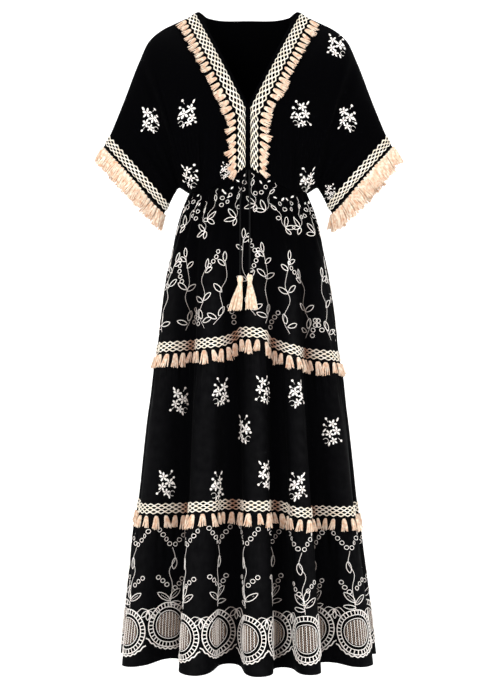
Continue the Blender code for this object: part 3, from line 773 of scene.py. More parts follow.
def folded(points):
    """How deep in the skirt's folds each point lies, 0 to 1, and how near a crest, 0 to 1: the
    shares of painted shade and of painted highlight.
    """
    wide = smooth(points[:, 2], SKIRT["height"], SKIRT["left"])
    deep = smooth(points[:, 2], SKIRT["height"], SKIRT["deep"])
    turn = np.degrees(np.arctan2(points[:, 0] / wide, -points[:, 1] / deep))
    share = 0.5 - 0.5 * np.cos(round_the_skirt(turn, "phase"))
    low = ramp(-points[:, 2], FOLDS_START, FOLDS_FULL)
    return share**2 * low, (1 - share) ** 2 * low


def mark_folds(mesh):
    """Gives a mesh the values by which the materials paint shade in its folds and light on its
    crests.
    """
    points = np.empty(len(mesh.vertices) * 3, np.float32)
    mesh.vertices.foreach_get("co", points)
    for name, values in zip(("fold", "crest"), folded(points.reshape(-1, 3).astype(float))):
        layer = mesh.attributes.new(name, "FLOAT", "POINT")
        layer.data.foreach_set("value", values.astype(np.float32))


class Trim:
    """A line that a braid follows: along runs 0 to 1, across is metres from its middle line."""

    def __init__(self, kind, word, surface, out, closed=True):
        self.name = f"{kind}_{word}"
        self.node = f"{kind}_trim_{word}"
        self.fringe_node = f"{kind}_fringe_{word}"
        self.surface = surface
        self.out = out
        self.closed = closed
        self.along = np.linspace(0, 1, 2401)
        self.gone = gone_along(surface(self.along, 0 * self.along))
        self.long = self.gone[-1]

    def out_at(self, distance, across):
        return self.out(np.interp(distance, self.gone, self.along), across)

    def at(self, distance, across, off):
        along = np.interp(distance, self.gone, self.along)
        return self.surface(along, across) + self.out(along, across) * off[..., None]


def tier_trim(word, seam):
    def place(along, across):
        u = along * 2
        return u, seam_height(u, seam) - across

    return Trim(
        "tier", word, lambda a, c: skirt_cloth(*place(a, c)), lambda a, c: skirt_out(*place(a, c))
    )


def neck_trim(hand, word):
    base, base_out = bodice_cloth(-1, hand)

    def place(along, across):
        # The braid lies between sections 1 and 2, and stops just short of the waist and shoulder
        return 1.5 + across / BRAID_WIDE, 0.002 + along * 0.985

    def surface(along, across):
        where, down = place(along, np.clip(across, -1, BRAID_WIDE / 2))
        beyond = np.maximum(across - BRAID_WIDE / 2, 0)
        step = base(where + 0.02, down) - base(where, down)
        pace = np.linalg.norm(step, axis=-1) / 0.02
        return base(where + beyond / pace, down)

    def out(along, across):
        where, down = place(along, across)
        return base_out(np.minimum(where, 2.1), down)

    return Trim("neck", word, surface, out, closed=False)


def cuff_trim(hand, word):
    front, front_out = bodice_cloth(-1, hand)
    back, back_out = bodice_cloth(1, hand)

    def both(fore, aft):
        def place(along, across):
            down = eased(np.where(along < 0.5, along * 2, 2 - along * 2))
            share = np.minimum(across / BRAID_WIDE + 0.5, 1)
            a = fore(FRONT_CUFF + share, down)
            b = aft(BACK_CUFF + share, down)
            return np.where((along < 0.5)[..., None], a, b)

        return place

    return Trim("cuff", word, both(front, back), both(front_out, back_out))


# The braid's cords: how many, how far apart, how far they wave, how wide, the wave's length,
# their wall, how far their edges stand off the cloth, and how far their crowns rise over those
BRAID_ROWS = 5
BRAID_PITCH = 0.0039
BRAID_WAVE = 0.0015
BRAID_CORD = 0.0025
BRAID_REPEAT = 0.0145
BRAID_WALL = 0.0006
BRAID_EDGE = 0.0008
BRAID_CROWN = 0.0015
# The cuff cord's radius, and how far beyond the braid's edge its middle lies
HEADING_RADIUS = 0.0019
HEADING_OFF = 0.0014


def braid(trim, shift=0.0, squeeze=1.0):
    """Five flat cords that wave in turn, so that open ovals lie between them."""
    waves = max(3, round(trim.long / BRAID_REPEAT))
    bm = bmesh.new()
    points = []
    outs = []
    for row in range(BRAID_ROWS):
        before = len(bm.verts)
        bmesh.ops.create_grid(bm, x_segments=waves * 10, y_segments=2, size=0.5)
        flat = np.array([corner.co[:2] for corner in list(bm.verts)[before:]])
        distance = (flat[:, 0] + 0.5) * trim.long
        turn = 2 * math.pi * waves * (flat[:, 0] + 0.5) + math.pi * (row % 2)
        middle = (row - (BRAID_ROWS - 1) / 2) * BRAID_PITCH + BRAID_WAVE * np.cos(turn)
        across = shift + squeeze * (middle + flat[:, 1] * BRAID_CORD)
        high = BRAID_EDGE + BRAID_CROWN * np.cos(np.pi * flat[:, 1] * 0.96)
        points.append(trim.at(distance, across, high))
        outs.append(trim.out_at(distance, across))
    for corner, place in zip(bm.verts, np.concatenate(points)):
        corner.co = place
    faced_out(bm, np.concatenate(outs))
    mesh = finished(bm, trim.name, trim.closed)
    mark_folds(mesh)
    piece = join(f"braid_{trim.name}", BRAID_YARN, trim.node, shape=mesh, material_slot="braid")
    return walled(piece, BRAID_WALL)


def heading(trim):
    """The black cord that the cuff tassels are knotted on, along the cuff's edge."""
    distance = np.linspace(0, trim.long, 241)[:-1]
    none = 0 * distance
    line = trim.at(distance, none + BRAID_WIDE / 2, none - WALL / 2)
    before = trim.at(distance, none, none - WALL / 2)
    line = line + unit(line - before) * HEADING_OFF
    name = f"heading_{trim.name}"
    mesh = thread_mesh(name, [line], [HEADING_RADIUS], closed=True)
    return join(name, TIE_YARN, shape=mesh, material_slot="tie_cord")


def thread_curve(name, lines, radii, closed=False):
    """Thin tubes along lines of points, each line with its own radius, as one curve."""
    curve = bpy.data.curves.new(name, "CURVE")
    curve.dimensions = "3D"
    curve.bevel_depth = 1.0
    curve.bevel_resolution = 0
    curve.resolution_u = 1
    curve.use_fill_caps = not closed
    for line, radius in zip(lines, radii):
        spline = curve.splines.new("POLY")
        spline.points.add(len(line) - 1)
        four = np.concatenate([line, np.ones((len(line), 1))], axis=1)
        spline.points.foreach_set("co", four.astype(np.float32).ravel())
        width = np.broadcast_to(radius, len(line)).astype(np.float32)
        spline.points.foreach_set("radius", np.ascontiguousarray(width))
        spline.use_cyclic_u = closed
    return curve


def thread_mesh(name, lines, radii, closed=False):
    """The same tubes as one mesh."""
    curve = thread_curve(name, lines, radii, closed)
    holder = bpy.data.objects.new(name, curve)
    mesh = bpy.data.meshes.new_from_object(holder)
    bpy.data.objects.remove(holder)
    bpy.data.curves.remove(curve)
    for polygon in mesh.polygons:
        polygon.use_smooth = True
    return mesh


def arrays_of(mesh):
    points = np.empty(len(mesh.vertices) * 3, np.float32)
    mesh.vertices.foreach_get("co", points)
    mesh.calc_loop_triangles()
    faces = np.empty(len(mesh.loop_triangles) * 3, np.int32)
    mesh.loop_triangles.foreach_get("vertices", faces)
    return points.reshape(-1, 3).astype(float), faces.reshape(-1, 3)


def repeated(name, shapes):
    """One mesh from copies of template meshes, given as (points, faces) with the points placed."""
    points = np.concatenate([shape[0] for shape in shapes])
    starts = np.cumsum([0] + [len(shape[0]) for shape in shapes[:-1]])
    faces = np.concatenate([shape[1] + start for shape, start in zip(shapes, starts)])
    mesh = bpy.data.meshes.new(name)
    mesh.vertices.add(len(points))
    mesh.vertices.foreach_set("co", points.astype(np.float32).ravel())
    mesh.loops.add(faces.size)
    mesh.loops.foreach_set("vertex_index", faces.astype(np.int32).ravel())
    mesh.polygons.add(len(faces))
    mesh.polygons.foreach_set("loop_start", np.arange(0, faces.size, 3, dtype=np.int32))
    mesh.polygons.foreach_set("use_smooth", np.ones(len(faces), bool))
    mesh.update(calc_edges=True)
    return mesh


def tassel_template(seed, strands, spread):
    """A small tassel one unit long: x across, y out, z down. Its threads leave a bound neck."""
    chance = np.random.default_rng(seed)
    lines = []
    radii = []
    for k in range(strands):
        angle = 2 * math.pi * (k + chance.uniform(-0.3, 0.3)) / strands
        reach = (1.0 if k % 3 else 0.4) * chance.uniform(0.8, 1.15)
        side = math.cos(angle) * reach * spread
        fore = math.sin(angle) * reach * spread * 0.5
        long = chance.uniform(0.88, 1.04)
        bend = chance.uniform(-0.05, 0.05)
        rows = ((0.03, 0.30, 0), (0.20, 0.58, 0.3), (0.60, 0.80, 1), (1.0, 1.06, 0.6))
        lines.append(
            np.array([(side * wide + bend * out, fore * wide, long * z) for z, wide, out in rows])
        )
        radii.append(np.array([0.042, 0.045, 0.045, 0.032]))
    lines.append(np.array([(0, 0, z) for z in (0.0, 0.06, 0.13, 0.2)]))
    radii.append(np.array([0.08, 0.12, 0.08, 0.10]))
    return arrays_of(thread_mesh("tassel_template", lines, radii))


# How far a fringe tassel's root stands off the cloth, and the share of a cuff's length on each side
# of the underarm whose tassels fan inward
ROOT_OFF = 0.0022
FAN_SHARE = 0.03


def tassels(trim, count, start, long, droop, spread, ragged, fan=0.0, gap=0.0):
    """Tassels along the outer edge of a braid, a little uneven, as one piece."""
    chance = np.random.default_rng(len(trim.name) * 7 + count)
    kinds = [tassel_template(seed, 13, spread) for seed in (3, 5, 8, 13, 21)]
    inset = 0.5 / count
    share = np.linspace(inset, 1 - inset, count)
    distance = share * trim.long
    off = np.full(count, ROOT_OFF)
    edge = np.full(count, start)
    root = trim.at(distance, edge, off)
    along = unit(trim.at(distance + 0.001, edge, off) - trim.at(distance - 0.001, edge, off))
    fall = trim.at(distance, edge + 0.02, off + 0.0008) - trim.at(distance, edge, off)
    ends_here = np.linalg.norm(fall, axis=1) < 0.01
    if ends_here.any():
        # A cuff's cloth ends at its braid, so the way down is taken from above its edge
        fall = trim.at(distance, edge, off) - trim.at(distance, edge - 0.012, off)
    fall = unit(unit(fall) + np.array([0, 0, -droop]))
    out = unit(np.cross(along, fall))
    outward = trim.out_at(distance, 0 * distance)
    out = out * np.sign(np.sum(out * outward, axis=1))[:, None]
    side = np.cross(fall, out)
    root = root + fall * gap
    inward = -np.sign(root[:, :1]) * np.exp(-(((share - 0.5) / FAN_SHARE) ** 2))[:, None]
    shapes = []
    for k in range(count):
        points, faces = kinds[int(chance.integers(len(kinds)))]
        size = long * chance.uniform(1 - ragged, 1 + ragged)
        sway = chance.uniform(-1.4, 1.4) * ragged
        down = fall[k] + side[k] * sway + out[k] * chance.uniform(0, ragged)
        down = unit(down + np.array([fan, 0, 0]) * inward[k] * (1 if k % 2 else 0.4))
        wide = chance.uniform(0.9, 1.12)
        placed = (
            root[k]
            + points[:, :1] * side[k] * size * wide
            + points[:, 1:2] * out[k] * size * wide
            + points[:, 2:] * down * size
        )
        shapes.append((placed, faces))
    mesh = repeated(f"fringe_{trim.name}", shapes)
    mark_folds(mesh)
    name = f"tassels_{trim.name}"
    return join(name, TASSEL_YARN, trim.fringe_node, shape=mesh, material_slot="tassel_thread")


# Embroidery: shapes drawn flat, x across and y up, then laid on the cloth


def ring_of(x, y, radius, sides=14):
    angle = np.linspace(0, 2 * np.pi, sides, endpoint=False)
    return np.stack([x + radius * np.cos(angle), y + radius * np.sin(angle)], axis=-1)


def leaf_of(x, y, long, wide, turn, sharp=0.5, sides=12):
    """A leaf from its foot at x, y, leaning right by turn from straight up."""
    t = np.linspace(0, 2 * np.pi, sides, endpoint=False)
    side = wide / 2 * np.sin(t) * np.abs(np.sin(t)) ** sharp
    return turned(np.stack([side, long * (1 - np.cos(t)) / 2], axis=-1), turn) + (x, y)


def turned(points, turn):
    c = math.cos(turn)
    s = math.sin(turn)
    return points @ np.array([[c, -s], [s, c]])


MM = 0.001


class Drawing:
    """Flat embroidery drawn in millimetres, mirrored if its lean is -1. Its kinds of shape are
    open lines, rings, tan lines and fills, each with its thread's radius or its filling's height.
    """

    def __init__(self, lean=1):
        self.lean = lean
        self.kinds = {"line": [], "ring": [], "tan": [], "fill": []}

    def put(self, kind, points, thick):
        self.kinds[kind].append((np.array(points, float) * MM, thick * MM))

    def changed(self, angle=0.0, size=1.0):
        """The drawing turned and scaled. Its threads shrink half as much as its shapes."""
        for shapes in self.kinds.values():
            for k, (points, thick) in enumerate(shapes):
                shapes[k] = (turned(points, angle) * size, thick * (0.5 + 0.5 * size))
        return self

    def line(self, points, thick, kind="line"):
        self.put(kind, np.array(points, float) * (self.lean, 1), thick)

    def ring(self, x, y, radius, thick, sides=10, kind="ring"):
        self.put(kind, ring_of(x * self.lean, y, radius, sides), thick)

    def flower(self, x, y, size, turn):
        x = x * self.lean
        for k in range(5):
            way = turn + k * 2 * math.pi / 5
            foot = (x + 0.14 * size * math.sin(way), y + 0.14 * size * math.cos(way))
            self.put("fill", leaf_of(*foot, size * 0.84, size * 0.46, way, 0.0, 9), 1.1)
        self.put("fill", ring_of(x, y, size * 0.17, 6), 1.8)

    def leaf(self, x, y, long, wide, turn, full=False):
        """An outlined leaf, with a vein if it is long, or a small filled one."""
        x = x * self.lean
        turn = turn * self.lean
        shape = leaf_of(x, y, long, wide, turn)
        if full:
            self.put("fill", shape, 1.0)
            return
        self.put("ring", shape, 0.75)
        if long > 23:
            vein = turned(np.array([(0, 0.12 * long), (0, 0.7 * long)]), turn) + (x, y)
            self.put("line", vein, 0.35)

    def curve(self, *knots, thick=0.7, steps=5):
        """A smooth line through a few points."""
        knots = np.array(knots, float) * (self.lean, 1)
        place = np.arange(len(knots))
        fine = np.linspace(0, len(knots) - 1, steps * (len(knots) - 1) + 1)
        points = np.stack([smooth(fine, place, knots[:, k]) for k in (0, 1)], axis=-1)
        self.put("line", points, thick)

    def beads(self, *knots, gap=10.8, radius=3.9):
        """Rings in a row along a line of points."""
        knots = np.array(knots, float) * (self.lean, 1)
        gone = gone_along(knots)
        for stop in np.arange(0, gone[-1] + 0.1, gap):
            x = np.interp(stop, gone, knots[:, 0])
            y = np.interp(stop, gone, knots[:, 1])
            self.put("ring", ring_of(x, y, radius, 10), 0.7)


# Posies in millimetres: the x, y, size and turn of the blooms of three kinds, and the buds
BLOOMS = (
    ((-6, 13, 10, 0.2), (6, 2, 10, 0.9), (-8, -6, 9, 0.5), (1, -17, 8, 0.3)),
    ((-7, 8, 10, 0.5), (7, -1, 11, 0.1), (-9, -9, 9, 0.8), (-3, -20, 8.5, 0.0)),
    ((-2, 14, 9.5, 0.4), (-9, 0, 9.5, 0.0), (5, -5, 9, 0.6), (-2, -19, 8, 0.9)),
)
BUDS = ((10, 24), (15, 12), (-15, 24), (18, -7), (-17, -19), (8, -27))


def posy(variant):
    """A close bunch: star flowers over one another, round buds, narrow leaves and a curl."""
    d = Drawing(-1 if variant % 2 else 1)
    for x, y, size, turn in BLOOMS[variant % 3]:
        d.flower(x, y, size, turn + variant)
    for k, (x, y) in enumerate(BUDS):
        if k % 3 < 2:
            d.ring(x, y, 2.6, 1.3, 9, kind="fill")
            d.line([(x * 0.6, y * 0.7), (x * 0.9, y * 0.93)], 0.35)
        else:
            d.leaf(x * 0.7, y * 0.75, 10, 4, math.atan2(x, y), full=True)
    angle = np.linspace(0.4, 5.2, 12)
    d.line(np.stack([13 + 5 * np.cos(angle), -19 + 5 * np.sin(angle)], axis=-1), 0.45)
    d.leaf(11, 5, 11, 3.5, 2.4, full=True)
    return d


def sprig(variant):
    """Under the waist: outlined leaves that fan from a short stalk, loose rings and small buds."""
    d = Drawing(-1 if variant % 4 == 3 else 1)
    low = (-30, -18, -38, -24, -34)[variant % 5]
    d.leaf(7, low, 20, 8, -1.75)
    d.leaf(7, low + 1, 22, 7.5, -0.6)
    if variant % 3:
        d.leaf(8, low - 1, 14, 6, -2.8)
    d.curve((7, low), (11, low + 12), (6, low + 26), (10, low + 40), thick=0.35)
    d.leaf(9, low + 38, 12, 5, 0.5)
    for x, y in ((-9, 34), (13, 22), (-4, 47)):
        if variant % 3 or x < 0:
            d.ring(x, low + y, 3.6, 0.65)
    d.leaf(-3, low + 58, 8, 3.5, 0.8, full=True)
    d.leaf(-13, low + 50, 9, 3.5, -0.9, full=True)
    d.curve((12, low + 50), (17, low + 56), (13, low + 62), thick=0.45)
    return d.changed(angle=0.35 * math.sin(variant * 2.4))


def vine(variant):
    """Above the upper braid: a waving stem with outlined leaves, a bud and chains of rings."""
    d = Drawing(1 if variant % 2 else -1)
    kind = variant * 2 % 5
    tall = (66, 30, 52, 38, 58)[kind]
    pair = (-16, -34, 2, -24, -8)[kind]
    d.curve((8, -88), (-5, -60), (5, -24), (-5, 6), (4, tall), thick=0.4)
    d.leaf(4, tall - 2, 19, 8, 0.15)
    d.leaf(3, tall - 10, 18, 7.5, 1.0)
    if kind % 2 == 0:
        d.leaf(0, tall - 24, 17, 7.5, -0.9)
    d.leaf(2, pair, 22, 9, 0.85)
    if kind != 3:
        d.leaf(1, pair - 3, 22, 9, -1.1)
    d.leaf(1, -70, 20, 8.5, -0.35)
    d.leaf(4, -76, 20, 8.5, 1.15)
    if kind in (0, 2):
        d.beads((15, tall + 2), (21, tall - 22), (34, tall - 44))
    elif kind == 1:
        d.beads((12, 34), (24, 46), (30, 66))
        d.beads((-16, -56), (-26, -80))
    else:
        d.beads((-17, -50), (-27, -66), (-30, -88))
    return d.changed(angle=0.13 * math.sin(variant * 2.1))


def stalk(variant):
    """Over a medallion: a stem with a bud, sprays of rings and outlined leaves."""
    d = Drawing()
    d.beads((-27, -42), (-17, -55), (-5, -70), (5, -70), (17, -55), (27, -42), gap=11.4)
    d.lean = 1 if variant % 2 else -1
    d.curve((0, -76), (6, -98), (-4, -122), (3, -150), (0, -192), thick=0.5)
    d.leaf(4, -118, 22, 9, 0.1)
    d.beads((8, -154), (17, -143), (24, -126), gap=11)
    d.beads((-7, -148), (-17, -138), (-28, -130), gap=11)
    d.leaf(0, -175, 26, 10, 0.7)
    d.leaf(0, -179, 28, 10, -0.95)
    d.leaf(0, -185, 20, 8, 1.4)
    if variant % 3 == 0:
        d.leaf(0, -168, 22, 9, -0.35)
    return d


def medallion(radius, wide):
    """A round of ladder stitch and a disc of upright lattice, over a scalloped line."""
    d = Drawing()
    d.ring(0, 0, radius, 1.1, 44)
    d.ring(0, 0, radius * 0.79, 0.85, 40)
    for k in range(34):
        angle = 2 * math.pi * k / 34
        way = np.array([math.cos(angle), math.sin(angle)])
        d.line([way * radius * 0.81, way * radius * 0.98], 0.95)
    d.ring(0, 0, radius * 0.63, 0.75, 34)
    inner = radius * 0.57
    for k in range(-7, 8):
        x = k / 7.6 * inner
        reach = math.sqrt(inner * inner - x * x)
        rows = np.linspace(-reach, reach, 9)
        d.line(np.stack([x + 0 * rows, rows], axis=-1), 0.95, kind="tan")
        if k % 2 == 0:
            rows = np.linspace(-reach, reach, max(5, int(reach / 1.1)) | 1)
            zigzag = 0.7 * np.cos(np.arange(len(rows)) * math.pi)
            d.line(np.stack([x + zigzag, rows], axis=-1), 0.85)
    span = np.linspace(-0.5, 0.5, 61)
    low = -radius - 3.5 + 24 * (np.abs(span) * 2) ** 2.2 + 1.3 * np.cos(span * 2 * math.pi * 9)
    d.line(np.stack([span * wide, low], axis=-1), 1.25)
    return d


def trefoil(radius):
    """Between two medallions: three small leaves hanging from an arc."""
    d = Drawing()
    d.curve((-27, radius * 0.72), (-12, radius * 0.98), (0, radius * 0.90), thick=0.65)
    d.curve((27, radius * 0.72), (12, radius * 0.98), (0, radius * 0.90), thick=0.65)
    for turn in (-0.8, 0.0, 0.8):
        d.leaf(0, radius * 0.88, 18, 7.5, math.pi + turn)
    return d


# How far the middle of a thread stands off the cloth: a share of its radius, and a clearance
STANDS = {"line": (0.6, 0.0003), "ring": (0.35, 0.0002), "tan": (0.3, 0.0)}


def embroider(name, laid):
    """One cloth's embroidery, from pairs of a drawing and its ground. A ground turns flat points
    into places and outward directions on the cloth.
    """
    threads = {kind: [] for kind in STANDS}
    shapes = []
    for drawing, ground in laid:
        for kind, (share, clear) in STANDS.items():
            for flat, thick in drawing.kinds[kind]:
                place, out = ground(flat)
                threads[kind].append((place + out * (thick * share + clear), thick))
        for flat, high in drawing.kinds["fill"]:
            middle = flat.mean(axis=0)
            reach, index, faces = dome(len(flat))
            place, out = ground(middle + (flat[index] - middle) * reach[:, None])
            rise = high * np.sqrt(np.maximum(1 - reach**2, 0)) - 0.0002
            shapes.append((place + out * rise[:, None], faces))
    parts = []
    for kind in ("line", "ring"):
        if threads[kind]:
            mesh = thread_mesh(kind, *zip(*threads[kind]), closed=kind == "ring")
            parts.append(arrays_of(mesh))
    mesh = repeated(name, parts + shapes)
    mark_folds(mesh)
    join(f"embroidery_{name}", FLOSS, shape=mesh, material_slot="tassel_thread")
    if threads["tan"]:
        mesh = thread_mesh("lattice", *zip(*threads["tan"]))
        join(f"embroidery_{name}_tan", FLOSS_TAN, shape=mesh, material_slot="tassel_thread")


DOMES = {}


def dome(sides):
    """A disc inset once and poked: how far out, how far round and the faces of each corner."""
    if sides not in DOMES:
        bm = bmesh.new()
        bmesh.ops.create_circle(bm, cap_ends=True, segments=sides, radius=1)
        whole = bm.faces[:]
        bmesh.ops.inset_individual(bm, faces=whole, thickness=0.4 * math.cos(math.pi / sides))
        bmesh.ops.poke(bm, faces=whole)
        mesh = bpy.data.meshes.new("dome")
        bm.to_mesh(mesh)
        bm.free()
        points, faces = arrays_of(mesh)
        bpy.data.meshes.remove(mesh)
        out = np.hypot(points[:, 0], points[:, 1])
        index = np.arctan2(points[:, 1], points[:, 0]) / (2 * np.pi) * sides
        DOMES[sides] = (out, np.round(index - 0.25).astype(int) % sides, faces)
    return DOMES[sides]


def half_length(height, back):
    """The length of cloth round half of the skirt at a height."""
    fine = np.linspace(0, 1, 361) + (1 if back else 0)
    return gone_along(flat_skirt(fine, np.full_like(fine, height)))[-1]


def skirt_ground(u, height):
    """The ground of a drawing that is centred at u and a height on the skirt."""
    long = half_length(height, u % 2 > 1)

    def ground(flat):
        around = u + flat[:, 0] / long
        level = height + flat[:, 1]
        return skirt_cloth(around, level), skirt_out(around, level)

    return ground


def on_skirt(across, height):
    """The place round the front whose cloth shows at a distance across, nearest the camera."""
    u = np.linspace(0.02, 0.98, 900)
    points = skirt_point(u, np.full_like(u, height))
    near = np.abs(points[:, 0] - across) < 0.004
    if not near.any():
        return u[np.argmin(np.abs(points[:, 0] - across))]
    found = np.where(near, points[:, 1], 1e9)
    return u[np.argmin(found)]


def bodice_ground(face, hand, across, height):
    """The ground of a drawing at a point of the bodice seen from the front or the back."""
    base, out = bodice_cloth(face, hand)
    lines = (len(FRONT["top_x"]) if face < 0 else len(BACK["top_x"])) - 1
    place, down = np.meshgrid(np.linspace(0, lines, 181), np.linspace(0.01, 0.99, 121))
    points = base(place, down)
    gap = (points[..., 0] - across) ** 2 + (points[..., 2] - height) ** 2
    spot = np.unravel_index(np.argmin(gap), gap.shape)
    p = place[spot]
    q = down[spot]
    one = np.array([p])
    two = np.array([q])
    along = (base(one + 0.02, two) - base(one - 0.02, two))[0] / 0.04
    fall = (base(one, two + 0.01) - base(one, two - 0.01))[0] / 0.02
    seen = np.array([[-face * along[0], -face * fall[0]], [along[2], fall[2]]])
    shown = np.linalg.norm(seen, axis=0)
    real = np.array([np.linalg.norm(along), np.linalg.norm(fall)])
    change = np.linalg.inv(seen * np.maximum(1, 0.5 * real / shown))

    def ground(flat):
        step = flat @ change.T
        where = p + step[:, 0]
        level = np.clip(q + step[:, 1], 0.005, 0.995)
        return base(where, level), out(where, level)

    return ground


# Where the posies are: x and y in the photo with a size on the bodice's front, the kind with the
# place in metres behind it, and x and y in the photo on the middle tier
FRONT_POSIES = (
    (149, 118, 1.0), (188, 113, 1.0), (188, 175, 0.8), (226, 171, 0.6), (337, 40, 1.0),
    (301, 116, 1.0), (347, 116, 1.0), (309, 178, 0.8), (331, 190, 0.6),
)
BACK_POSIES = (
    (0, -0.19, -0.21), (1, -0.11, -0.10), (2, -0.10, -0.25), (5, 0.11, -0.09), (6, 0.10, -0.26),
    (7, 0.19, -0.21),
)
MIDDLE_POSIES = (
    (177, 401), (223, 391), (266, 389), (300, 393), (242, 428), (331, 432), (167, 485), (220, 484),
    (268, 473), (296, 485),
)


def bodice_work():
    for k, (x, y, size) in enumerate(FRONT_POSIES):
        across, height = from_photo(x, y, 0.07)
        ground = bodice_ground(-1, -1 if across < 0 else 1, across, height)
        yield posy(k).changed(size=size), ground
    for k, across, height in BACK_POSIES:
        yield posy(k), bodice_ground(1, -1 if across < 0 else 1, across, height)


def seam_at(u, seam):
    """A seam's height at one place."""
    return float(seam_height(np.array([u]), seam)[0])


# How many sprigs and vines go round, and how far they lie under the waist and over the seam
UPPER_COLUMNS = 22
SPRIG_DROP = 0.048
VINE_RISE = 0.118


def upper_work():
    for k in range(UPPER_COLUMNS):
        u = (k + 0.5) * 2 / UPPER_COLUMNS
        yield sprig(k), skirt_ground(u, seam_at(u, "waist") - SPRIG_DROP)
    for k in range(UPPER_COLUMNS):
        u = (k + 0.35) * 2 / UPPER_COLUMNS
        yield vine(k), skirt_ground(u, seam_at(u, "high") + VINE_RISE)


def middle_work():
    for k, (x, y) in enumerate(MIDDLE_POSIES):
        across, height = from_photo(x, y, 0.13)
        yield posy(k), skirt_ground(on_skirt(across, height), height)
    for k in range(11):
        yield posy(k + 1), skirt_ground(1.10 + 0.08 * k, -0.775 if k % 2 else -0.905)


# How many medallions go round, their radius in millimetres, and how far over the hem they lie
MEDALLIONS = 22
MEDALLION_RADIUS = 43
MEDALLION_RISE = 0.067


def bottom_work():
    first = on_skirt(*from_photo(305, 640, 0.16))
    step = 2 / MEDALLIONS
    for k in range(MEDALLIONS):
        u = (first + k * step) % 2
        wide = half_length(-1.23, u > 1) / (MEDALLIONS / 2) / MM
        ground = skirt_ground(u, seam_at(u, "hem") + MEDALLION_RISE)
        yield medallion(MEDALLION_RADIUS, wide), ground
        yield stalk(k), skirt_ground(u, seam_at(u, "low"))
        u = (u + step / 2) % 2
        yield trefoil(MEDALLION_RADIUS), skirt_ground(u, seam_at(u, "hem") + MEDALLION_RISE)


# Ties


# A waist tassel: its threads and the turns of their spiral, the wraps round its neck, and the
# cords over its head
TASSEL_THREADS = 46
TASSEL_SPIRAL = 5.2
NECK_WRAPS = 5
HEAD_CORDS = 18


def tie_tassel(word, across, lean, half, head):
    """A waist tassel: a bound head, a neck wrap and a skirt of fine threads."""
    chance = np.random.default_rng(21 if word == "left" else 34)
    lines = []
    radii = []
    low, high = (np.array(corner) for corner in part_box(f"tassel_{word}"))
    neck = head + np.array([0, -0.001, -0.0165])
    foot = np.array([across + lean, (low[1] + high[1]) / 2, low[2]])
    for k in range(TASSEL_THREADS):
        angle = 2 * math.pi * k / TASSEL_THREADS * TASSEL_SPIRAL
        reach = math.sqrt((k + 0.5) / TASSEL_THREADS)
        way = np.array([math.cos(angle), math.sin(angle), 0])
        start = neck + way * np.array([0.0035, 0.0030, 0]) * reach
        wide = np.array([half - 0.001, 0.0062, 0]) * reach
        end = foot + way * wide + np.array([0, 0, chance.uniform(0, 0.004)])
        middle = start * 0.45 + end * 0.55 + way * wide * 0.10
        lines.append(np.array([start, start * 0.75 + middle * 0.25, middle, end]))
        radii.append(np.array([0.0007, 0.0008, 0.0009, 0.0008]))
    angle = np.linspace(0, 2 * np.pi, 15)
    wrap = np.stack([np.cos(angle) * 0.0040, np.sin(angle) * 0.0038, 0 * angle], axis=-1)
    for k in range(NECK_WRAPS):
        lines.append(neck + wrap + np.array([0, 0, 0.0022 - k * 0.0010]))
        radii.append(0.0006)
    rows = np.linspace(0, 1, 7)
    swell = 0.0048 * np.sin(np.pi * (0.12 + 0.80 * rows)) ** 0.7
    for k in range(HEAD_CORDS):
        angle = 2 * math.pi * k / HEAD_CORDS
        line = np.stack([np.cos(angle) * swell, np.sin(angle) * swell, -0.0145 * rows], axis=-1)
        lines.append(head + line + np.array([0, 0, -0.0005]))
        radii.append(0.0010)
    mesh = thread_mesh(f"tassel_{word}", lines, radii)
    name = f"waist_tassel_{word}"
    return join(name, TIE_TASSEL, f"tassel_{word}", shape=mesh, material_slot="tassel_thread")


def dress_ties():
    rows = zip(*(TIES[name] for name in TIES))
    for word, (start, across, top, foot, lean, half) in zip(("left", "right"), rows):
        path = tie_path(start, across, top, foot)
        tassel = tie_tassel(word, across, lean, half, path[-1])
        steps = np.arange(1, 10)[:, None] / 9
        path = np.concatenate([path, path[-1] + steps * np.array([lean * 0.2, -0.0005, -0.016])])
        curve = thread_curve(f"tie_{word}", [path], [1.0])
        curve.bevel_depth = TIE_RADIUS
        curve.bevel_resolution = 3
        curve.resolution_u = 3
        name = f"tie_{word}_cord"
        piece = join(name, TIE_YARN, f"tie_{word}", shape=curve, material_slot="tie_cord")
        round(float(gone_along(path)[-1]), 3)


# Studio


def lamp(name, place, aim, size, power):
    made = bpy.data.lights.new(name, "AREA")
    made.energy = power
    made.size = size
    piece = linked(name, made)
    piece.location = place
    way = Vector(aim) - Vector(place)
    piece.rotation_euler = way.to_track_quat("-Z", "Y").to_euler()


# The backdrop: the floor's height, where it starts to rise behind the dress, and its bend's radius
FLOOR_LEVEL = -1.46
SWEEP_START = 3.4
SWEEP_BEND = 2.6


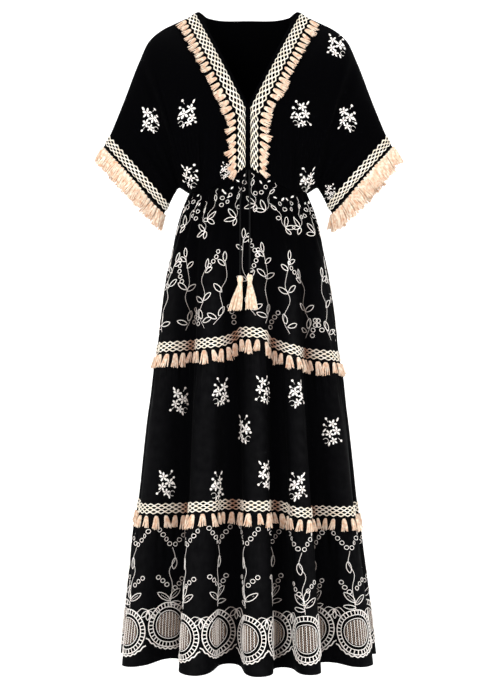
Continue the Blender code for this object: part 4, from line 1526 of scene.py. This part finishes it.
def studio():
    lens = bpy.data.cameras.new("camera")
    lens.sensor_fit = "VERTICAL"
    lens.sensor_height = 36
    lens.lens = 36 * CAMERA_OFF / FRAME_HIGH
    camera = linked("camera", lens)
    camera.location = CAMERA_AT
    camera.rotation_euler = (math.pi / 2, 0, 0)
    bpy.context.scene.camera = camera
    bm = bmesh.new()
    bmesh.ops.create_grid(bm, x_segments=2, y_segments=48, size=14)
    for corner in bm.verts:
        beyond = max(corner.co.y - SWEEP_START, 0)
        turn = min(beyond / SWEEP_BEND, math.pi / 2)
        up = SWEEP_BEND * (1 - math.cos(turn)) + max(beyond - SWEEP_BEND * math.pi / 2, 0)
        corner.co.y = min(corner.co.y, SWEEP_START + SWEEP_BEND * math.sin(turn))
        corner.co.z = FLOOR_LEVEL + up
    floor = linked("floor", finished(bm, "floor"))
    paint = bpy.data.materials.new("matt_floor_white")
    paint.use_nodes = True
    shader = paint.node_tree.nodes["Principled BSDF"]
    shader.inputs["Base Color"].default_value = linear("#FAFAFA")
    shader.inputs["Roughness"].default_value = 0.9
    floor.data.materials.append(paint)
    world = bpy.data.worlds.new("studio")
    world.use_nodes = True
    sky = world.node_tree.nodes["Background"]
    sky.inputs["Color"].default_value = (1, 1, 1, 1)
    sky.inputs["Strength"].default_value = 0.75
    bpy.context.scene.world = world
    bpy.context.scene.view_settings.view_transform = "Standard"
    lamp("key", (-1.8, -3.2, 0.5), (0, 0, -0.9), 1.6, 72)
    lamp("fill", (2.2, -2.8, -0.9), (0, 0, -1.1), 1.8, 48)
    lamp("rim", (2.0, 1.5, 1.2), (0, 0, -0.6), 1.2, 12)
    lamp("wash", (0, 1.6, 3.0), (0, 5.5, -0.6), 4.0, 230)


studio()
dress_ties()
dress_bodice()
dress_skirt()
trims = {
    "upper": tier_trim("upper", "high"),
    "lower": tier_trim("lower", "low"),
    "neck_left": neck_trim(-1, "left"),
    "neck_right": neck_trim(1, "right"),
    "cuff_left": cuff_trim(-1, "left"),
    "cuff_right": cuff_trim(1, "right"),
}
for word, trim in trims.items():
    if "cuff" in word:
        braid(trim, shift=-0.0016, squeeze=0.87)
        heading(trim)
    else:
        braid(trim)
# The fringes: where a tassel starts across the braid, its length, its fall, spread and unevenness
TIER_TASSELS = {"start": 0.0140, "long": 0.025, "droop": 0.15, "spread": 0.29, "ragged": 0.15}
NECK_TASSELS = {"start": 0.0132, "long": 0.021, "droop": 0.5, "spread": 0.29, "ragged": 0.15}
CUFF_TASSELS = {"start": 0.0112, "droop": 0.35, "spread": 0.22, "ragged": 0.16, "gap": 0.0026}
tassels(trims["upper"], 72, **TIER_TASSELS)
tassels(trims["lower"], 94, **TIER_TASSELS)
for word, long, fan in (("left", 0.030, 0.1), ("right", 0.034, 0.6)):
    tassels(trims[f"neck_{word}"], 27, **NECK_TASSELS)
    tassels(trims[f"cuff_{word}"], 46, long=long, fan=fan, **CUFF_TASSELS)
embroider("bodice", bodice_work())
embroider("upper", upper_work())
embroider("middle", middle_work())
embroider("bottom", bottom_work())
